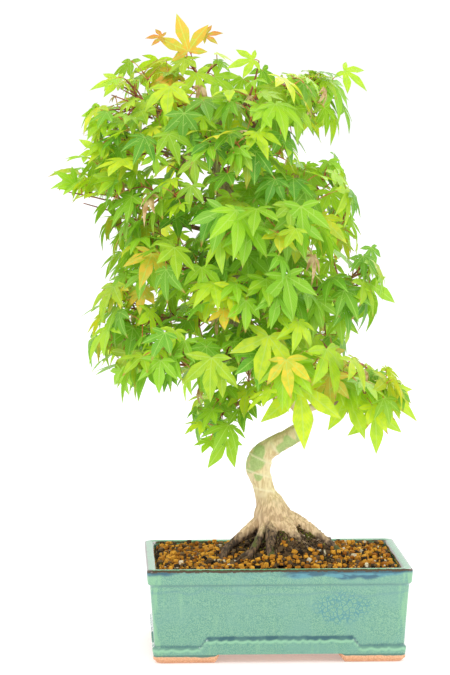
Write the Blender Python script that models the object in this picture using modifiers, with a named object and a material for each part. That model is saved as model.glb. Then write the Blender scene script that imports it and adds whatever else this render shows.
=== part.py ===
"""A Japanese maple bonsai in a glazed rectangular pot.

Metres, +Z up. The origin is on the table under the middle of the whole object's box.
The lists below are in millimetres from the middle of the pot, on the table.
"""

import math
import random

import bmesh
import bpy
from mathutils import Matrix, Vector
from mathutils.bvhtree import BVHTree

MM = 0.001
GAP = 0.3 * MM
POT_CENTRE = Vector((31.0, -4.5, 0.0)) * MM  # sets the object's box in the middle of the origin

# Pot: one fired piece
RIM_SIZE = (205.0 * MM, 150.0 * MM)
BODY_TOP = (199.0 * MM, 144.0 * MM)
BODY_FOOT = (193.0 * MM, 138.0 * MM)
MOUTH_SIZE = (188.0 * MM, 133.0 * MM)
CAVITY_FLOOR_SIZE = (182.0 * MM, 127.0 * MM)
POT_HEIGHT = 73.6 * MM
RIM_BAND = 12.0 * MM
FOOT_HEIGHT = 9.5 * MM
FLOOR_TOP = 17.0 * MM
FOOT_WALL = 14.0 * MM
FRONT_FOOT_GAP = 90.0 * MM
SIDE_FOOT_GAP = 62.0 * MM
FOOT_SLOPE = 2.5 * MM
SKIRT_PROUD = 1.2 * MM
SKIRT_LOW = 12.5 * MM
SKIRT_HIGH = 19.5 * MM
SKIRT_RUN = (114.0 * MM, 80.0 * MM)
CORNER_ROUND = 4.0 * MM
RIM_EDGE_ROUND = 1.2 * MM
DRAIN_RADIUS = 9.0 * MM
DRAIN_SPACING = 90.0 * MM

# Drainage mesh and the wire that holds it
MESH_SIZE = 32.0 * MM
MESH_CELLS = 4
MESH_BAR = 1.6 * MM
MESH_THICKNESS = 1.0 * MM
WIRE_RADIUS = 0.75 * MM

# Soil
SOIL_EDGE = 68.5 * MM
SOIL_RISE = 7.5 * MM
RISE_RADIUS = 66.0 * MM
MOUND_MIDDLE = (11.0 * MM, -2.0 * MM)
MOUND_HEIGHT = 19.0 * MM
MOUND_RADIUS = 42.0 * MM

# Wood, in millimetres: x, y, z, radius
TRUNK = (
    (3, 0, 66, 15.5), (3, 0, 80, 16.0), (1, 0, 95, 16.0), (-2, 0, 106, 14.6), (-4, 0, 114, 11.6),
    (-7, 0, 121, 8.9), (-10, 0, 131, 8.2), (-13, 0, 141, 9.6), (-12, 0, 148, 10.0), (-8, -1, 155, 8.7),
    (3, -2, 162, 7.8), (14, -2, 168, 7.4), (21, -2, 173, 7.0), (24, 0, 183, 6.8), (14, 3, 197, 6.6),
    (-8, 5, 210, 6.3), (-23, 4, 230, 6.0), (-27, 0, 255, 5.6), (-20, -3, 285, 5.2),
    (-18, -3, 315, 4.8), (-28, 0, 345, 4.3), (-42, 3, 370, 3.8), (-52, 3, 400, 3.2),
    (-57, 0, 430, 2.5), (-61, 0, 452, 1.8),
)
# Surface roots: the point each one reaches before it turns down, then its radius there and at its start
ROOTS = (
    (-39, -8, 79, 2.6, 4.6), (-21, -30, 77, 2.0, 3.4), (-6, -38, 77, 2.2, 4.6), (23, -30, 79, 2.8, 6.4),
    (48, -8, 79, 3.0, 7.4), (36, 22, 78, 3.0, 6.4), (4, 37, 77, 3.0, 6.4), (-27, 25, 77, 2.6, 5.0),
)
ROOT_CROWN = (-1.0, 0.0, 106.0, 8.0)
ROOT_DIVE = 13.0

# Woody limbs: where each leaves the trunk, then the points it runs through
LIMBS = {
    "left_top": (403, (-80, -4, 419), (-100, -6, 428)),
    "left_upper": (374, (-72, -12, 387), (-98, -18, 394)),
    "left_mid": (322, (-58, 10, 331), (-96, 8, 339)),
    "left_low": (258, (-60, -12, 262), (-94, -18, 262)),
    "left_front_low": (234, (-45, -32, 231), (-68, -46, 228)),
    "hanging": (209, (-24, -14, 198), (-36, -20, 193)),
    "right_low": (188, (50, -12, 196), (72, -18, 196)),
    "right_low_back": (198, (45, 28, 214), (68, 40, 221)),
    "front_low": (206, (5, -28, 214), (16, -48, 218)),
    "right_mid": (277, (12, -14, 283), (48, -20, 287)),
    "right_mid_back": (303, (12, 24, 318), (42, 38, 328)),
    "right_upper": (345, (0, -12, 358), (28, -18, 367)),
    "right_top": (385, (-25, 12, 405), (4, 16, 424)),
    "right_top_front": (406, (-32, -14, 424), (-8, -22, 438)),
    "front_mid": (262, (-22, -34, 268), (-20, -54, 272)),
    "front_upper": (315, (-10, -32, 325), (-6, -52, 330)),
    "front_top": (365, (-38, -26, 377), (-34, -44, 384)),
    "left_front": (291, (-48, -30, 298), (-72, -42, 302)),
    "left_front_upper": (349, (-58, -26, 356), (-78, -36, 358)),
    "back_low": (213, (-6, 34, 224), (4, 58, 228)),
    "back_mid": (256, (-36, 34, 268), (-44, 58, 272)),
    "back_upper": (318, (-22, 34, 334), (-16, 56, 340)),
    "back_left": (298, (-54, 30, 309), (-78, 42, 315)),
    "back_top": (374, (-50, 26, 394), (-52, 44, 402)),
}
LIMB_BASE_SHARE = 0.5
LIMB_END_RADIUS = 1.5
ROOT_CLEARANCE = 0.4  # millimetres that the soil keeps from the wood

# Leafy shoots: limb, how far along it, the point its twig reaches, leaf length, how far leaves hang (degrees)
SHOOTS = (
    ("apex", 1.0, (-71, -3, 462), 34, -60),
    ("apex", 0.7, (-88, 2, 452), 32, 10),
    ("apex", 0.7, (-42, 4, 462), 32, 20),
    ("left_top", 1.0, (-126, -6, 444), 28, 10),
    ("left_top", 0.8, (-132, -14, 418), 30, 30),
    ("left_upper", 1.0, (-128, -20, 402), 28, 20),
    ("left_upper", 0.8, (-118, -34, 382), 36, 40),
    ("left_mid", 1.0, (-146, 0, 360), 36, 25),
    ("left_mid", 0.8, (-122, -12, 326), 38, 45),
    ("left_low", 1.0, (-122, -20, 272), 38, 40),
    ("left_low", 0.8, (-118, -26, 246), 40, 55),
    ("left_low", 0.7, (-108, 14, 240), 38, 50),
    ("left_front_low", 1.0, (-100, -52, 222), 40, 60),
    ("left_front_low", 0.8, (-68, -72, 228), 40, 60),
    ("hanging", 1.0, (-46, -24, 184), 36, 65),
    ("hanging", 0.9, (-34, -34, 198), 34, 45),
    ("right_low", 1.0, (84, -22, 198), 40, 50),
    ("right_low", 0.8, (66, -44, 204), 42, 60),
    ("right_low", 0.8, (78, 12, 196), 38, 55),
    ("right_low_back", 1.0, (78, 46, 222), 40, 50),
    ("right_low_back", 0.7, (42, 70, 232), 40, 50),
    ("front_low", 1.0, (20, -72, 222), 46, 65),
    ("front_low", 0.8, (-16, -58, 248), 38, 45),
    ("right_mid", 1.0, (76, -26, 298), 38, 50),
    ("right_mid", 0.85, (66, -46, 276), 40, 60),
    ("right_mid_back", 1.0, (68, 42, 336), 40, 45),
    ("right_mid_back", 0.8, (38, 70, 322), 40, 50),
    ("right_upper", 1.0, (54, -20, 372), 38, 50),
    ("right_upper", 0.8, (30, -48, 356), 40, 55),
    ("right_top", 1.0, (38, 14, 446), 36, 50),
    ("right_top", 0.8, (48, 2, 412), 38, 55),
    ("right_top_front", 1.0, (14, -26, 452), 36, 45),
    ("right_top_front", 0.8, (0, -52, 420), 38, 50),
    ("front_mid", 1.0, (-40, -78, 280), 42, 60),
    ("front_mid", 0.8, (2, -78, 274), 42, 60),
    ("front_upper", 1.0, (-36, -76, 334), 42, 55),
    ("front_upper", 0.8, (16, -74, 326), 42, 60),
    ("front_top", 1.0, (-56, -62, 392), 36, 50),
    ("front_top", 0.8, (-16, -64, 384), 40, 55),
    ("left_front", 1.0, (-94, -50, 306), 40, 50),
    ("left_front_upper", 1.0, (-98, -50, 352), 38, 50),
    ("back_low", 1.0, (10, 82, 228), 42, 50),
    ("back_mid", 1.0, (-56, 80, 276), 42, 50),
    ("back_mid", 0.8, (-8, 76, 288), 42, 50),
    ("back_upper", 1.0, (-26, 78, 348), 40, 45),
    ("back_upper", 0.8, (16, 70, 362), 38, 45),
    ("back_left", 1.0, (-104, 48, 316), 40, 45),
    ("back_top", 1.0, (-54, 66, 410), 36, 40),
    ("back_top", 0.8, (-92, 34, 414), 34, 40),
)
SHOOT_START = 2.6 * MM
SHOOT_START_AHEAD = 1.2 * MM
SHOOT_RADIUS = (1.2, 0.8)
TWIG_ARCH = 0.12
PETIOLE_RADIUS = 0.42
PETIOLE_SHARE = 0.5
PETIOLE_OVERLAP = 2.5 * MM  # how far a stalk runs on inside its blade
# Leaves along a twig: share of its length, turn round it in degrees, size; a long twig ends in a pair
SHORT_TWIG_LEAVES = ((0.62, 15, 1.0), (0.62, 195, 1.0), (0.97, 90, 0.9))
LONG_TWIG_LEAVES = ((0.62, 15, 1.0), (0.62, 195, 1.0), (0.95, -20, 0.9), (0.95, 200, 0.9))
LONG_TWIG = 36.0 * MM
# How far, in degrees, one leaf may differ from the next
SWING_RANGE = 25
ROLL_RANGE = 18
TILT_RANGE = 12
TURN_RANGE = 15
LEAF_THICKNESS = 1.2 * MM
LEAF_CLEARANCE = 0.6 * MM
# A palmate blade: each lobe's angle from the leaf's own axis and its length as a share of the leaf's
LOBES = ((-94, 0.56), (-46, 0.88), (0, 1.0), (46, 0.88), (94, 0.56))
SINUS_RADIUS = 0.33
HEEL = (130, 0.2)
TIP_DROP = 0.14
# Turns tried, in degrees, when a leaf would touch its neighbours: hang, swing, then share of length
LEAF_TRIES = (
    (0, 0, 1.0), (-18, 0, 1.0), (18, 0, 1.0), (0, 22, 1.0), (0, -22, 1.0), (-18, 22, 0.85),
    (18, -22, 0.85), (-30, -22, 0.85), (30, 22, 0.85), (0, 40, 0.7), (0, -40, 0.7), (-40, 0, 0.7),
)


def clear_scene():
    for found in list(bpy.data.objects):
        bpy.data.objects.remove(found, do_unlink=True)


def new_collection(name):
    made = bpy.data.collections.new(name)
    bpy.context.scene.collection.children.link(made)
    return made


def new_material(name, colour, roughness, metallic=0.0):
    material = bpy.data.materials.new(name)
    material.use_nodes = True
    shader = material.node_tree.nodes["Principled BSDF"]
    shader.inputs["Base Color"].default_value = (*colour, 1.0)
    shader.inputs["Roughness"].default_value = roughness
    shader.inputs["Metallic"].default_value = metallic
    return material


def placed(x, y, z):
    """A point given in millimetres from the middle of the pot."""
    return Vector((x, y, z)) * MM + POT_CENTRE


def add_object(name, mesh, collection, material=None):
    made = bpy.data.objects.new(name, mesh)
    collection.objects.link(made)
    if material:
        mesh.materials.clear()
        mesh.materials.append(material)
    return made


def evaluated_mesh(source):
    graph = bpy.context.evaluated_depsgraph_get()
    return bpy.data.meshes.new_from_object(source.evaluated_get(graph), depsgraph=graph)


def triangulate(thing):
    shape = bmesh.new()
    shape.from_mesh(thing.data)
    bmesh.ops.triangulate(shape, faces=shape.faces)
    shape.to_mesh(thing.data)
    shape.free()


def combine(target, other, operation):
    """Joins another piece to the target, or cuts it away, and removes it."""
    triangulate(target)
    triangulate(other)
    modifier = target.modifiers.new(operation.title(), "BOOLEAN")
    modifier.solver = "EXACT"
    modifier.operation = operation
    modifier.object = other
    bpy.context.view_layer.update()
    mesh = evaluated_mesh(target)
    target.modifiers.clear()
    target.data = mesh
    bpy.data.objects.remove(other, do_unlink=True)


def tapered_block(name, collection, foot, top, low, high, corner):
    """A box centred on the pot, with one plan size at its foot, another at its top and rounded uprights."""
    shape = bmesh.new()
    bmesh.ops.create_cube(shape, size=1.0)
    for vert in shape.verts:
        size = top if vert.co.z > 0 else foot
        height = high if vert.co.z > 0 else low
        vert.co = Vector((vert.co.x * size[0], vert.co.y * size[1], height)) + POT_CENTRE
    if corner:
        uprights = [e for e in shape.edges if abs(e.verts[0].co.z - e.verts[1].co.z) > high - low - MM]
        bmesh.ops.bevel(shape, geom=uprights, offset=corner, segments=3, profile=0.5, affect="EDGES")
    mesh = bpy.data.meshes.new(name)
    shape.to_mesh(mesh)
    shape.free()
    return add_object(name, mesh, collection)


def upright_cylinder(name, collection, centre, radius, low, high):
    shape = bmesh.new()
    bmesh.ops.create_cone(
        shape, cap_ends=True, segments=20, radius1=radius, radius2=radius, depth=high - low
    )
    bmesh.ops.translate(shape, verts=shape.verts, vec=centre + Vector((0, 0, (low + high) / 2)))
    mesh = bpy.data.meshes.new(name)
    shape.to_mesh(mesh)
    shape.free()
    return add_object(name, mesh, collection)


def tube(name, collection, points, radii, sides):
    """A closed tube along the points, in metres, with a radius in millimetres at each."""
    curve = bpy.data.curves.new(name, "CURVE")
    curve.dimensions = "3D"
    curve.bevel_depth = MM
    curve.bevel_resolution = (sides - 4) // 2
    curve.use_fill_caps = True
    spline = curve.splines.new("POLY")
    spline.points.add(len(points) - 1)
    for point, position, radius in zip(spline.points, points, radii):
        point.co = (*position, 1.0)
        point.radius = radius
    guide = add_object(name, curve, collection)
    bpy.context.view_layer.update()
    mesh = evaluated_mesh(guide)
    bpy.data.objects.remove(guide, do_unlink=True)
    shape = bmesh.new()
    shape.from_mesh(mesh)
    bmesh.ops.remove_doubles(shape, verts=shape.verts, dist=0.00001)
    bmesh.ops.recalc_face_normals(shape, faces=shape.faces)
    shape.to_mesh(mesh)
    shape.free()
    return add_object(name, mesh, collection)


def smooth_line(points, steps):
    """Points along a smooth curve through the given ones, each a tuple of the same length."""
    line = []
    ends = [points[0], *points, points[-1]]
    for a, b, c, d in zip(ends, ends[1:], ends[2:], ends[3:]):
        for step in range(steps):
            t = step / steps
            line.append(
                tuple(
                    0.5 * (2 * q + (r - p) * t + (2 * p - 5 * q + 4 * r - s) * t * t
                           + (3 * q - p - 3 * r + s) * t * t * t)
                    for p, q, r, s in zip(a, b, c, d)
                )
            )
    line.append(tuple(points[-1]))
    return line


def wood_tube(name, collection, line, sides, extra=0.0):
    """A tube through points of x, y, z and radius; extra millimetres make it fatter and longer, as a cutter."""
    points = [placed(*p[:3]) for p in line]
    if extra:
        points[0] += (points[0] - points[1]).normalized() * extra * MM
        points[-1] += (points[-1] - points[-2]).normalized() * extra * MM
    return tube(name, collection, points, [p[3] + extra for p in line], sides)


def trunk_at(height):
    """The trunk's middle and radius at a height, in millimetres."""
    for low, high in zip(TRUNK, TRUNK[1:]):
        if low[2] <= height <= high[2]:
            share = (height - low[2]) / (high[2] - low[2])
            return tuple(a + (b - a) * share for a, b in zip(low, high))
    return TRUNK[-1]


def root_line(root):
    """One surface root: out of the trunk, down over the mound and into the soil."""
    x, y, z, radius, start_radius = root
    crown = ROOT_CROWN
    drop = crown[2] - z
    shoulder = (crown[0] + (x - crown[0]) * 0.38, y * 0.38, crown[2] - drop * 0.32, start_radius)
    knee = (crown[0] + (x - crown[0]) * 0.74, y * 0.74, crown[2] - drop * 0.74, (start_radius + radius) / 2)
    tip = (x * 1.14, y * 1.14, z - ROOT_DIVE, radius * 0.7)
    return smooth_line([crown, shoulder, knee, (x, y, z - 1, radius), tip], 2)


def limb_line(name):
    """One limb, from inside the trunk to its end."""
    if name == "apex":
        return list(TRUNK[-3:])
    height, *points = LIMBS[name]
    x, y, z, radius = trunk_at(height)
    base_radius = max(radius * LIMB_BASE_SHARE, LIMB_END_RADIUS * 1.2)
    radii = (base_radius, (base_radius + LIMB_END_RADIUS) / 2, LIMB_END_RADIUS)
    return smooth_line([(*p, r) for p, r in zip([(x, y, z), *points], radii)], 2)


def make_wood(parts, cutters):
    """The trunk with its surface roots and limbs, which is one grown piece."""
    wood = wood_tube("trunk", parts, smooth_line(TRUNK, 2), 10)
    for number, root in enumerate(ROOTS):
        combine(wood, wood_tube(f"root_{number}", cutters, root_line(root), 6), "UNION")
    for name in LIMBS:
        combine(wood, wood_tube(f"limb_{name}", cutters, limb_line(name), 6), "UNION")
    wood.data.materials.clear()
    wood.data.materials.append(new_material("bark", (0.42, 0.34, 0.22), 0.8))
    return wood


def make_pot(parts, cutters):
    """The pot: walls, rim band, stepped skirt and feet, with two drain holes."""
    pot = tapered_block("pot", parts, BODY_FOOT, BODY_TOP, FOOT_HEIGHT, POT_HEIGHT - 8 * MM, CORNER_ROUND)
    rim = tapered_block("rim", cutters, RIM_SIZE, RIM_SIZE, POT_HEIGHT - RIM_BAND, POT_HEIGHT, CORNER_ROUND)
    rounding = rim.modifiers.new("Rounding", "BEVEL")
    rounding.width = RIM_EDGE_ROUND
    rounding.segments = 1
    rounding.limit_method = "ANGLE"
    bpy.context.view_layer.update()
    rim.data = evaluated_mesh(rim)
    rim.modifiers.clear()
    combine(pot, rim, "UNION")
    proud = tuple(size + 2 * SKIRT_PROUD for size in BODY_FOOT)
    low_skirt = tapered_block("low_skirt", cutters, proud, proud, FOOT_HEIGHT - 4 * MM, SKIRT_LOW, CORNER_ROUND)
    combine(pot, low_skirt, "UNION")
    for name, plan in (
        ("front_skirt", (SKIRT_RUN[0], proud[1])),
        ("side_skirt", (proud[0], SKIRT_RUN[1])),
    ):
        raised = tapered_block(name, cutters, plan, plan, FOOT_HEIGHT - 4 * MM, SKIRT_HIGH, 0)
        combine(pot, raised, "UNION")
    feet = tapered_block("feet", cutters, BODY_FOOT, BODY_FOOT, 0, FOOT_HEIGHT, CORNER_ROUND)
    combine(pot, feet, "UNION")
    hollow = tuple(size - 2 * FOOT_WALL for size in BODY_FOOT)
    combine(pot, tapered_block("under", cutters, hollow, hollow, -MM, FOOT_HEIGHT, 0), "DIFFERENCE")
    for name, foot, top in (
        ("front_gap", (FRONT_FOOT_GAP + 2 * FOOT_SLOPE, 2 * RIM_SIZE[1]), (FRONT_FOOT_GAP, 2 * RIM_SIZE[1])),
        ("side_gap", (2 * RIM_SIZE[0], SIDE_FOOT_GAP + 2 * FOOT_SLOPE), (2 * RIM_SIZE[0], SIDE_FOOT_GAP)),
    ):
        combine(pot, tapered_block(name, cutters, foot, top, -MM, FOOT_HEIGHT, 0), "DIFFERENCE")
    combine(pot, cavity("cavity", cutters, 0.0, FLOOR_TOP, POT_HEIGHT + 5 * MM), "DIFFERENCE")
    for side in (-1, 1):
        centre = POT_CENTRE + Vector((side * DRAIN_SPACING / 2, 0, 0))
        drain = upright_cylinder("drain", cutters, centre, DRAIN_RADIUS, 0, FLOOR_TOP + 5 * MM)
        combine(pot, drain, "DIFFERENCE")
    pot.data.materials.clear()
    pot.data.materials.append(new_material("glaze", (0.09, 0.3, 0.24), 0.2))
    return pot


def cavity(name, collection, inset, low, high):
    """The space inside the pot between two heights, drawn in by an inset."""
    slope = [(a - b) / (POT_HEIGHT - FLOOR_TOP) for a, b in zip(MOUTH_SIZE, CAVITY_FLOOR_SIZE)]
    sizes = [
        tuple(a + s * (height - FLOOR_TOP) - 2 * inset for a, s in zip(CAVITY_FLOOR_SIZE, slope))
        for height in (low, high)
    ]
    return tapered_block(name, collection, sizes[0], sizes[1], low, high, CORNER_ROUND)


def soil_height(x, y):
    """The soil's top: a gentle rise, and a steep mound of old root soil under the roots."""
    away = math.hypot(x, y * 1.2) / RISE_RADIUS
    rise = SOIL_RISE * max(0.0, 1 - away * away)
    near = math.hypot(x - MOUND_MIDDLE[0], y - MOUND_MIDDLE[1]) / MOUND_RADIUS
    mound = MOUND_HEIGHT * max(0.0, 1 - near) ** 1.1
    uneven = 0.6 * MM * math.sin(x / (11 * MM) + 1) * math.sin(y / (9 * MM))
    return SOIL_EDGE + rise + mound + uneven


def make_soil(parts, cutters):
    """The soil: a block that fills the pot, mounded on top, clear of the roots and the drain meshes."""
    shape = bmesh.new()
    bmesh.ops.create_grid(shape, x_segments=20, y_segments=14, size=0.5)
    for vert in shape.verts:
        x = vert.co.x * 1.1 * MOUTH_SIZE[0]
        y = vert.co.y * 1.1 * MOUTH_SIZE[1]
        vert.co = Vector((x, y, soil_height(x, y))) + POT_CENTRE
    made = bmesh.ops.extrude_face_region(shape, geom=list(shape.faces))
    for vert in (item for item in made["geom"] if isinstance(item, bmesh.types.BMVert)):
        vert.co.z = FLOOR_TOP - 5 * MM
    bmesh.ops.recalc_face_normals(shape, faces=shape.faces)
    mesh = bpy.data.meshes.new("soil")
    shape.to_mesh(mesh)
    shape.free()
    soil = add_object("soil", mesh, parts)
    plug = cavity("plug", cutters, GAP, FLOOR_TOP + GAP, POT_HEIGHT + 20 * MM)
    pocket = (MESH_SIZE + 4 * MM,) * 2
    for side in (-1, 1):
        cut = tapered_block("pocket", cutters, pocket, pocket, FLOOR_TOP - MM, FLOOR_TOP + 4 * MM, 0)
        cut.data.transform(Matrix.Translation((side * DRAIN_SPACING / 2, 0, 0)))
        combine(plug, cut, "DIFFERENCE")
    combine(soil, plug, "INTERSECT")
    hole = wood_tube("trunk_hole", cutters, smooth_line(TRUNK, 2)[:7], 10, ROOT_CLEARANCE)
    for number, root in enumerate(ROOTS):
        root_hole = wood_tube(f"root_hole_{number}", cutters, root_line(root), 6, ROOT_CLEARANCE)
        combine(hole, root_hole, "UNION")
    combine(soil, hole, "DIFFERENCE")
    soil.data.materials.clear()
    soil.data.materials.append(new_material("akadama", (0.36, 0.16, 0.06), 0.95))
    return soil


def make_drain_mesh(parts, side, name, material):
    """A square of plastic netting over a drain hole."""
    shape = bmesh.new()
    bmesh.ops.create_grid(shape, x_segments=MESH_CELLS, y_segments=MESH_CELLS, size=MESH_SIZE / 2)
    cells = list(shape.faces)
    bmesh.ops.inset_individual(shape, faces=cells, thickness=MESH_BAR / 2)
    bmesh.ops.delete(shape, geom=cells, context="FACES")
    level = Vector((side * DRAIN_SPACING / 2, 0, FLOOR_TOP + GAP))
    bmesh.ops.translate(shape, verts=shape.verts, vec=level + POT_CENTRE)
    mesh = bpy.data.meshes.new(name)
    shape.to_mesh(mesh)
    shape.free()
    made = add_object(name, mesh, parts, material)
    thickness = made.modifiers.new("Thickness", "SOLIDIFY")
    thickness.thickness = MESH_THICKNESS
    thickness.offset = 1.0
    return made


def make_clip(parts, side, name, material):
    """A bent wire: over the netting, down through the drain hole and out under the floor."""
    cell = MESH_SIZE / MESH_CELLS
    top = FLOOR_TOP + 2 * GAP + MESH_THICKNESS + WIRE_RADIUS
    under = FOOT_HEIGHT - GAP - WIRE_RADIUS
    reach = DRAIN_RADIUS + 4 * MM
    middle = POT_CENTRE + Vector((side * DRAIN_SPACING / 2, cell / 2, 0))
    route = [
        (-reach, under), (-cell / 2 - 2 * MM, under), (-cell / 2, under + 2 * MM),
        (-cell / 2, top - 1.5 * MM), (-cell / 2 + 1.5 * MM, top),
    ]
    route += [(-x, z) for x, z in reversed(route)]
    points = [middle + Vector((x, 0, z)) for x, z in route]
    made = tube(name, parts, points, [WIRE_RADIUS / MM] * len(points), 6)
    made.data.materials.clear()
    made.data.materials.append(material)
    return made


def leaf_frame(base, outward, hang, swing, roll):
    """Where a blade sits: its own right, tip and upper-side directions, as a matrix."""
    along = Matrix.Rotation(math.radians(swing), 3, "Z") @ outward
    drop = math.radians(hang)
    tip = (along * math.cos(drop) - Vector((0, 0, 1)) * math.sin(drop)).normalized()
    right = tip.cross(Vector((0, 0, 1))).normalized()
    upper = right.cross(tip).normalized()
    turn = Matrix.Rotation(math.radians(roll), 3, tip)
    right = turn @ right
    upper = turn @ upper
    frame = Matrix((right, tip, upper)).transposed().to_4x4()
    frame.translation = base
    return frame


def blade(name, collection, frame, length, thickness):
    """A five-lobed blade as a thin closed wedge: thickest at the heel, thin at its edge, with drooping lobes."""
    shape = bmesh.new()
    outline = [(-HEEL[0], HEEL[1], 0.0)]
    for number, (angle, reach) in enumerate(LOBES):
        outline.append((angle, reach, -TIP_DROP * reach))
        if number < len(LOBES) - 1:
            outline.append(((angle + LOBES[number + 1][0]) / 2, SINUS_RADIUS, 0.0))
    outline.append((HEEL[0], HEEL[1], 0.0))
    edge = [
        shape.verts.new(
            (math.sin(math.radians(a)) * r * length, math.cos(math.radians(a)) * r * length, z * length)
        )
        for a, r, z in outline
    ]
    upper = shape.verts.new((0, 0, thickness / 2))
    lower = shape.verts.new((0, 0, -thickness / 2))
    for one, two in zip(edge, edge[1:]):
        shape.faces.new((upper, two, one))
        shape.faces.new((lower, one, two))
    shape.faces.new((upper, edge[0], lower))
    shape.faces.new((lower, edge[-1], upper))
    shape.transform(frame)
    mesh = bpy.data.meshes.new(name)
    shape.to_mesh(mesh)
    shape.free()
    return add_object(name, mesh, collection)


def tree_of(thing):
    shape = bmesh.new()
    shape.from_mesh(thing.data)
    tree = BVHTree.FromBMesh(shape)
    shape.free()
    return tree


def touches(thing, trees):
    own = tree_of(thing)
    return any(own.overlap(tree) for tree in trees)


def point_on(line, share):
    """The point, direction and radius at a share of a line's run."""
    spot = share * (len(line) - 1)
    index = min(int(spot), len(line) - 2)
    here = tuple(a + (b - a) * (spot - index) for a, b in zip(line[index], line[index + 1]))
    direction = placed(*line[index + 1][:3]) - placed(*line[index][:3])
    return placed(*here[:3]), direction.normalized(), here[3]


def add_leaf(cutters, stem, direction, side_way, length, hang, random_source, taken, blades):
    """Grows one leaf on its stalk from a point of the twig, turned until it is clear of its neighbours."""
    swing = random_source.uniform(-SWING_RANGE, SWING_RANGE)
    roll = random_source.uniform(-ROLL_RANGE, ROLL_RANGE)
    tilt = random_source.uniform(-TILT_RANGE, TILT_RANGE)
    for more_hang, more_swing, share in LEAF_TRIES:
        size = length * share * MM
        reach = (direction * 0.5 + side_way * 0.8 + Vector((0, 0, 0.25))).normalized()
        base = stem + reach * size * PETIOLE_SHARE
        axis = POT_CENTRE + Vector((trunk_at(base.z / MM)[0] * MM, 0, 0))
        outward = base - axis
        outward.z = 0
        outward = (outward.normalized() + reach * 0.7 * Vector((1, 1, 0))).normalized()
        outward.z = 0
        frame = leaf_frame(base, outward.normalized(), hang + tilt + more_hang, swing + more_swing, roll)
        tip = (frame.to_3x3() @ Vector((0, 1, 0))).normalized()
        inside = base + tip * PETIOLE_OVERLAP
        wide = blade("wide_leaf", cutters, frame, size * 1.02, LEAF_THICKNESS + 2 * LEAF_CLEARANCE)
        clear = not touches(wide, taken + blades)
        bpy.data.objects.remove(wide, do_unlink=True)
        stalk = tube("stalk", cutters, [stem, inside], [PETIOLE_RADIUS] * 2, 4)
        if clear and not touches(stalk, taken):
            leaf = blade("leaf", cutters, frame, size, LEAF_THICKNESS)
            blades.append(tree_of(leaf))
            combine(stalk, leaf, "UNION")
            return stalk
        bpy.data.objects.remove(stalk, do_unlink=True)
    return None


def make_shoot(parts, cutters, name, shoot, taken, material, random_source):
    """A leafy shoot: a twig that carries leaves in pairs and one at its end."""
    limb, share, reach, length, hang = shoot
    line = limb_line(limb)
    start, run, radius = point_on(line, share)
    end = placed(*reach)
    way = (end - start).normalized()
    aside = way - run * way.dot(run)
    if share >= 1:
        start = start + run * SHOOT_START_AHEAD
    else:
        start = start + aside.normalized() * (radius * MM + SHOOT_START / 2)
    middle = (start + end) / 2 + Vector((0, 0, TWIG_ARCH * (end - start).length))
    knots = [start, middle, end]
    twig = tube(name, parts, knots, [SHOOT_RADIUS[0], sum(SHOOT_RADIUS) / 2, SHOOT_RADIUS[1]], 6)
    blades = []
    across = way.cross(Vector((0, 0, 1))).normalized()
    above = across.cross(way).normalized()
    stations = LONG_TWIG_LEAVES if (end - start).length > LONG_TWIG else SHORT_TWIG_LEAVES
    for run_share, turn, size_share in stations:
        angle = math.radians(turn + random_source.uniform(-TURN_RANGE, TURN_RANGE))
        side_way = across * math.cos(angle) + above * math.sin(angle)
        knot = middle.lerp(end, run_share * 2 - 1)  # every leaf stands on the outer half
        size = length * size_share
        leaf = add_leaf(cutters, knot, way, side_way, size, hang, random_source, taken, blades)
        if leaf:
            combine(twig, leaf, "UNION")
    twig.data.materials.clear()
    twig.data.materials.append(material)
    return twig


def main():
    clear_scene()
    parts = new_collection("maple_bonsai")
    cutters = new_collection("cutters")
    cutters.hide_render = True
    make_pot(parts, cutters)
    netting = new_material("netting", (0.03, 0.03, 0.03), 0.6)
    wire = new_material("aluminium_wire", (0.6, 0.6, 0.6), 0.35, 1.0)
    for side, word in ((-1, "left"), (1, "right")):
        make_drain_mesh(parts, side, f"drain_mesh_{word}", netting)
        make_clip(parts, side, f"mesh_clip_{word}", wire)
    wood = make_wood(parts, cutters)
    make_soil(parts, cutters)
    green = new_material("leaf", (0.13, 0.4, 0.03), 0.5)
    taken = [tree_of(wood)]
    counts = {}
    for number, shoot in enumerate(SHOOTS):
        counts[shoot[0]] = counts.get(shoot[0], 0) + 1
        name = f"shoot_{shoot[0]}_{counts[shoot[0]]}"
        made = make_shoot(parts, cutters, name, shoot, taken, green, random.Random(number))
        taken.append(tree_of(made))


main()
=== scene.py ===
import math
import random

import bmesh
import bpy
import numpy as np
from mathutils import Matrix, Vector, noise
from mathutils.bvhtree import BVHTree


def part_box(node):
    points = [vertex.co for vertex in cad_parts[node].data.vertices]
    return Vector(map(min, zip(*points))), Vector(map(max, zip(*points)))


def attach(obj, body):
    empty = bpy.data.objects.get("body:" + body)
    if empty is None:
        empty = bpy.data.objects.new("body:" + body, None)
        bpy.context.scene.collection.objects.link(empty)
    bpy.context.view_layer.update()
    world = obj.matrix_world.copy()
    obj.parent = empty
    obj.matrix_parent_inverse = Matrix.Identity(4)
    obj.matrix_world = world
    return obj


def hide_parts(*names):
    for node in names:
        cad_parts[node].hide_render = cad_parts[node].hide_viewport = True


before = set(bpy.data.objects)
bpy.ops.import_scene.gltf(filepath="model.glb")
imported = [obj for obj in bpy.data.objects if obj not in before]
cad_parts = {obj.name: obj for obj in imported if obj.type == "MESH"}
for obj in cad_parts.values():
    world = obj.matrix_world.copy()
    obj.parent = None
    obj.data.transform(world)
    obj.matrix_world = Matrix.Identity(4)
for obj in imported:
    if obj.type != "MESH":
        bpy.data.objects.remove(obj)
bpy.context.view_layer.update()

mm = 0.001
potLow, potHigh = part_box("pot")
potMiddle = Vector(((potLow.x + potHigh.x) / 2, (potLow.y + potHigh.y) / 2, 0.0))
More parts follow.
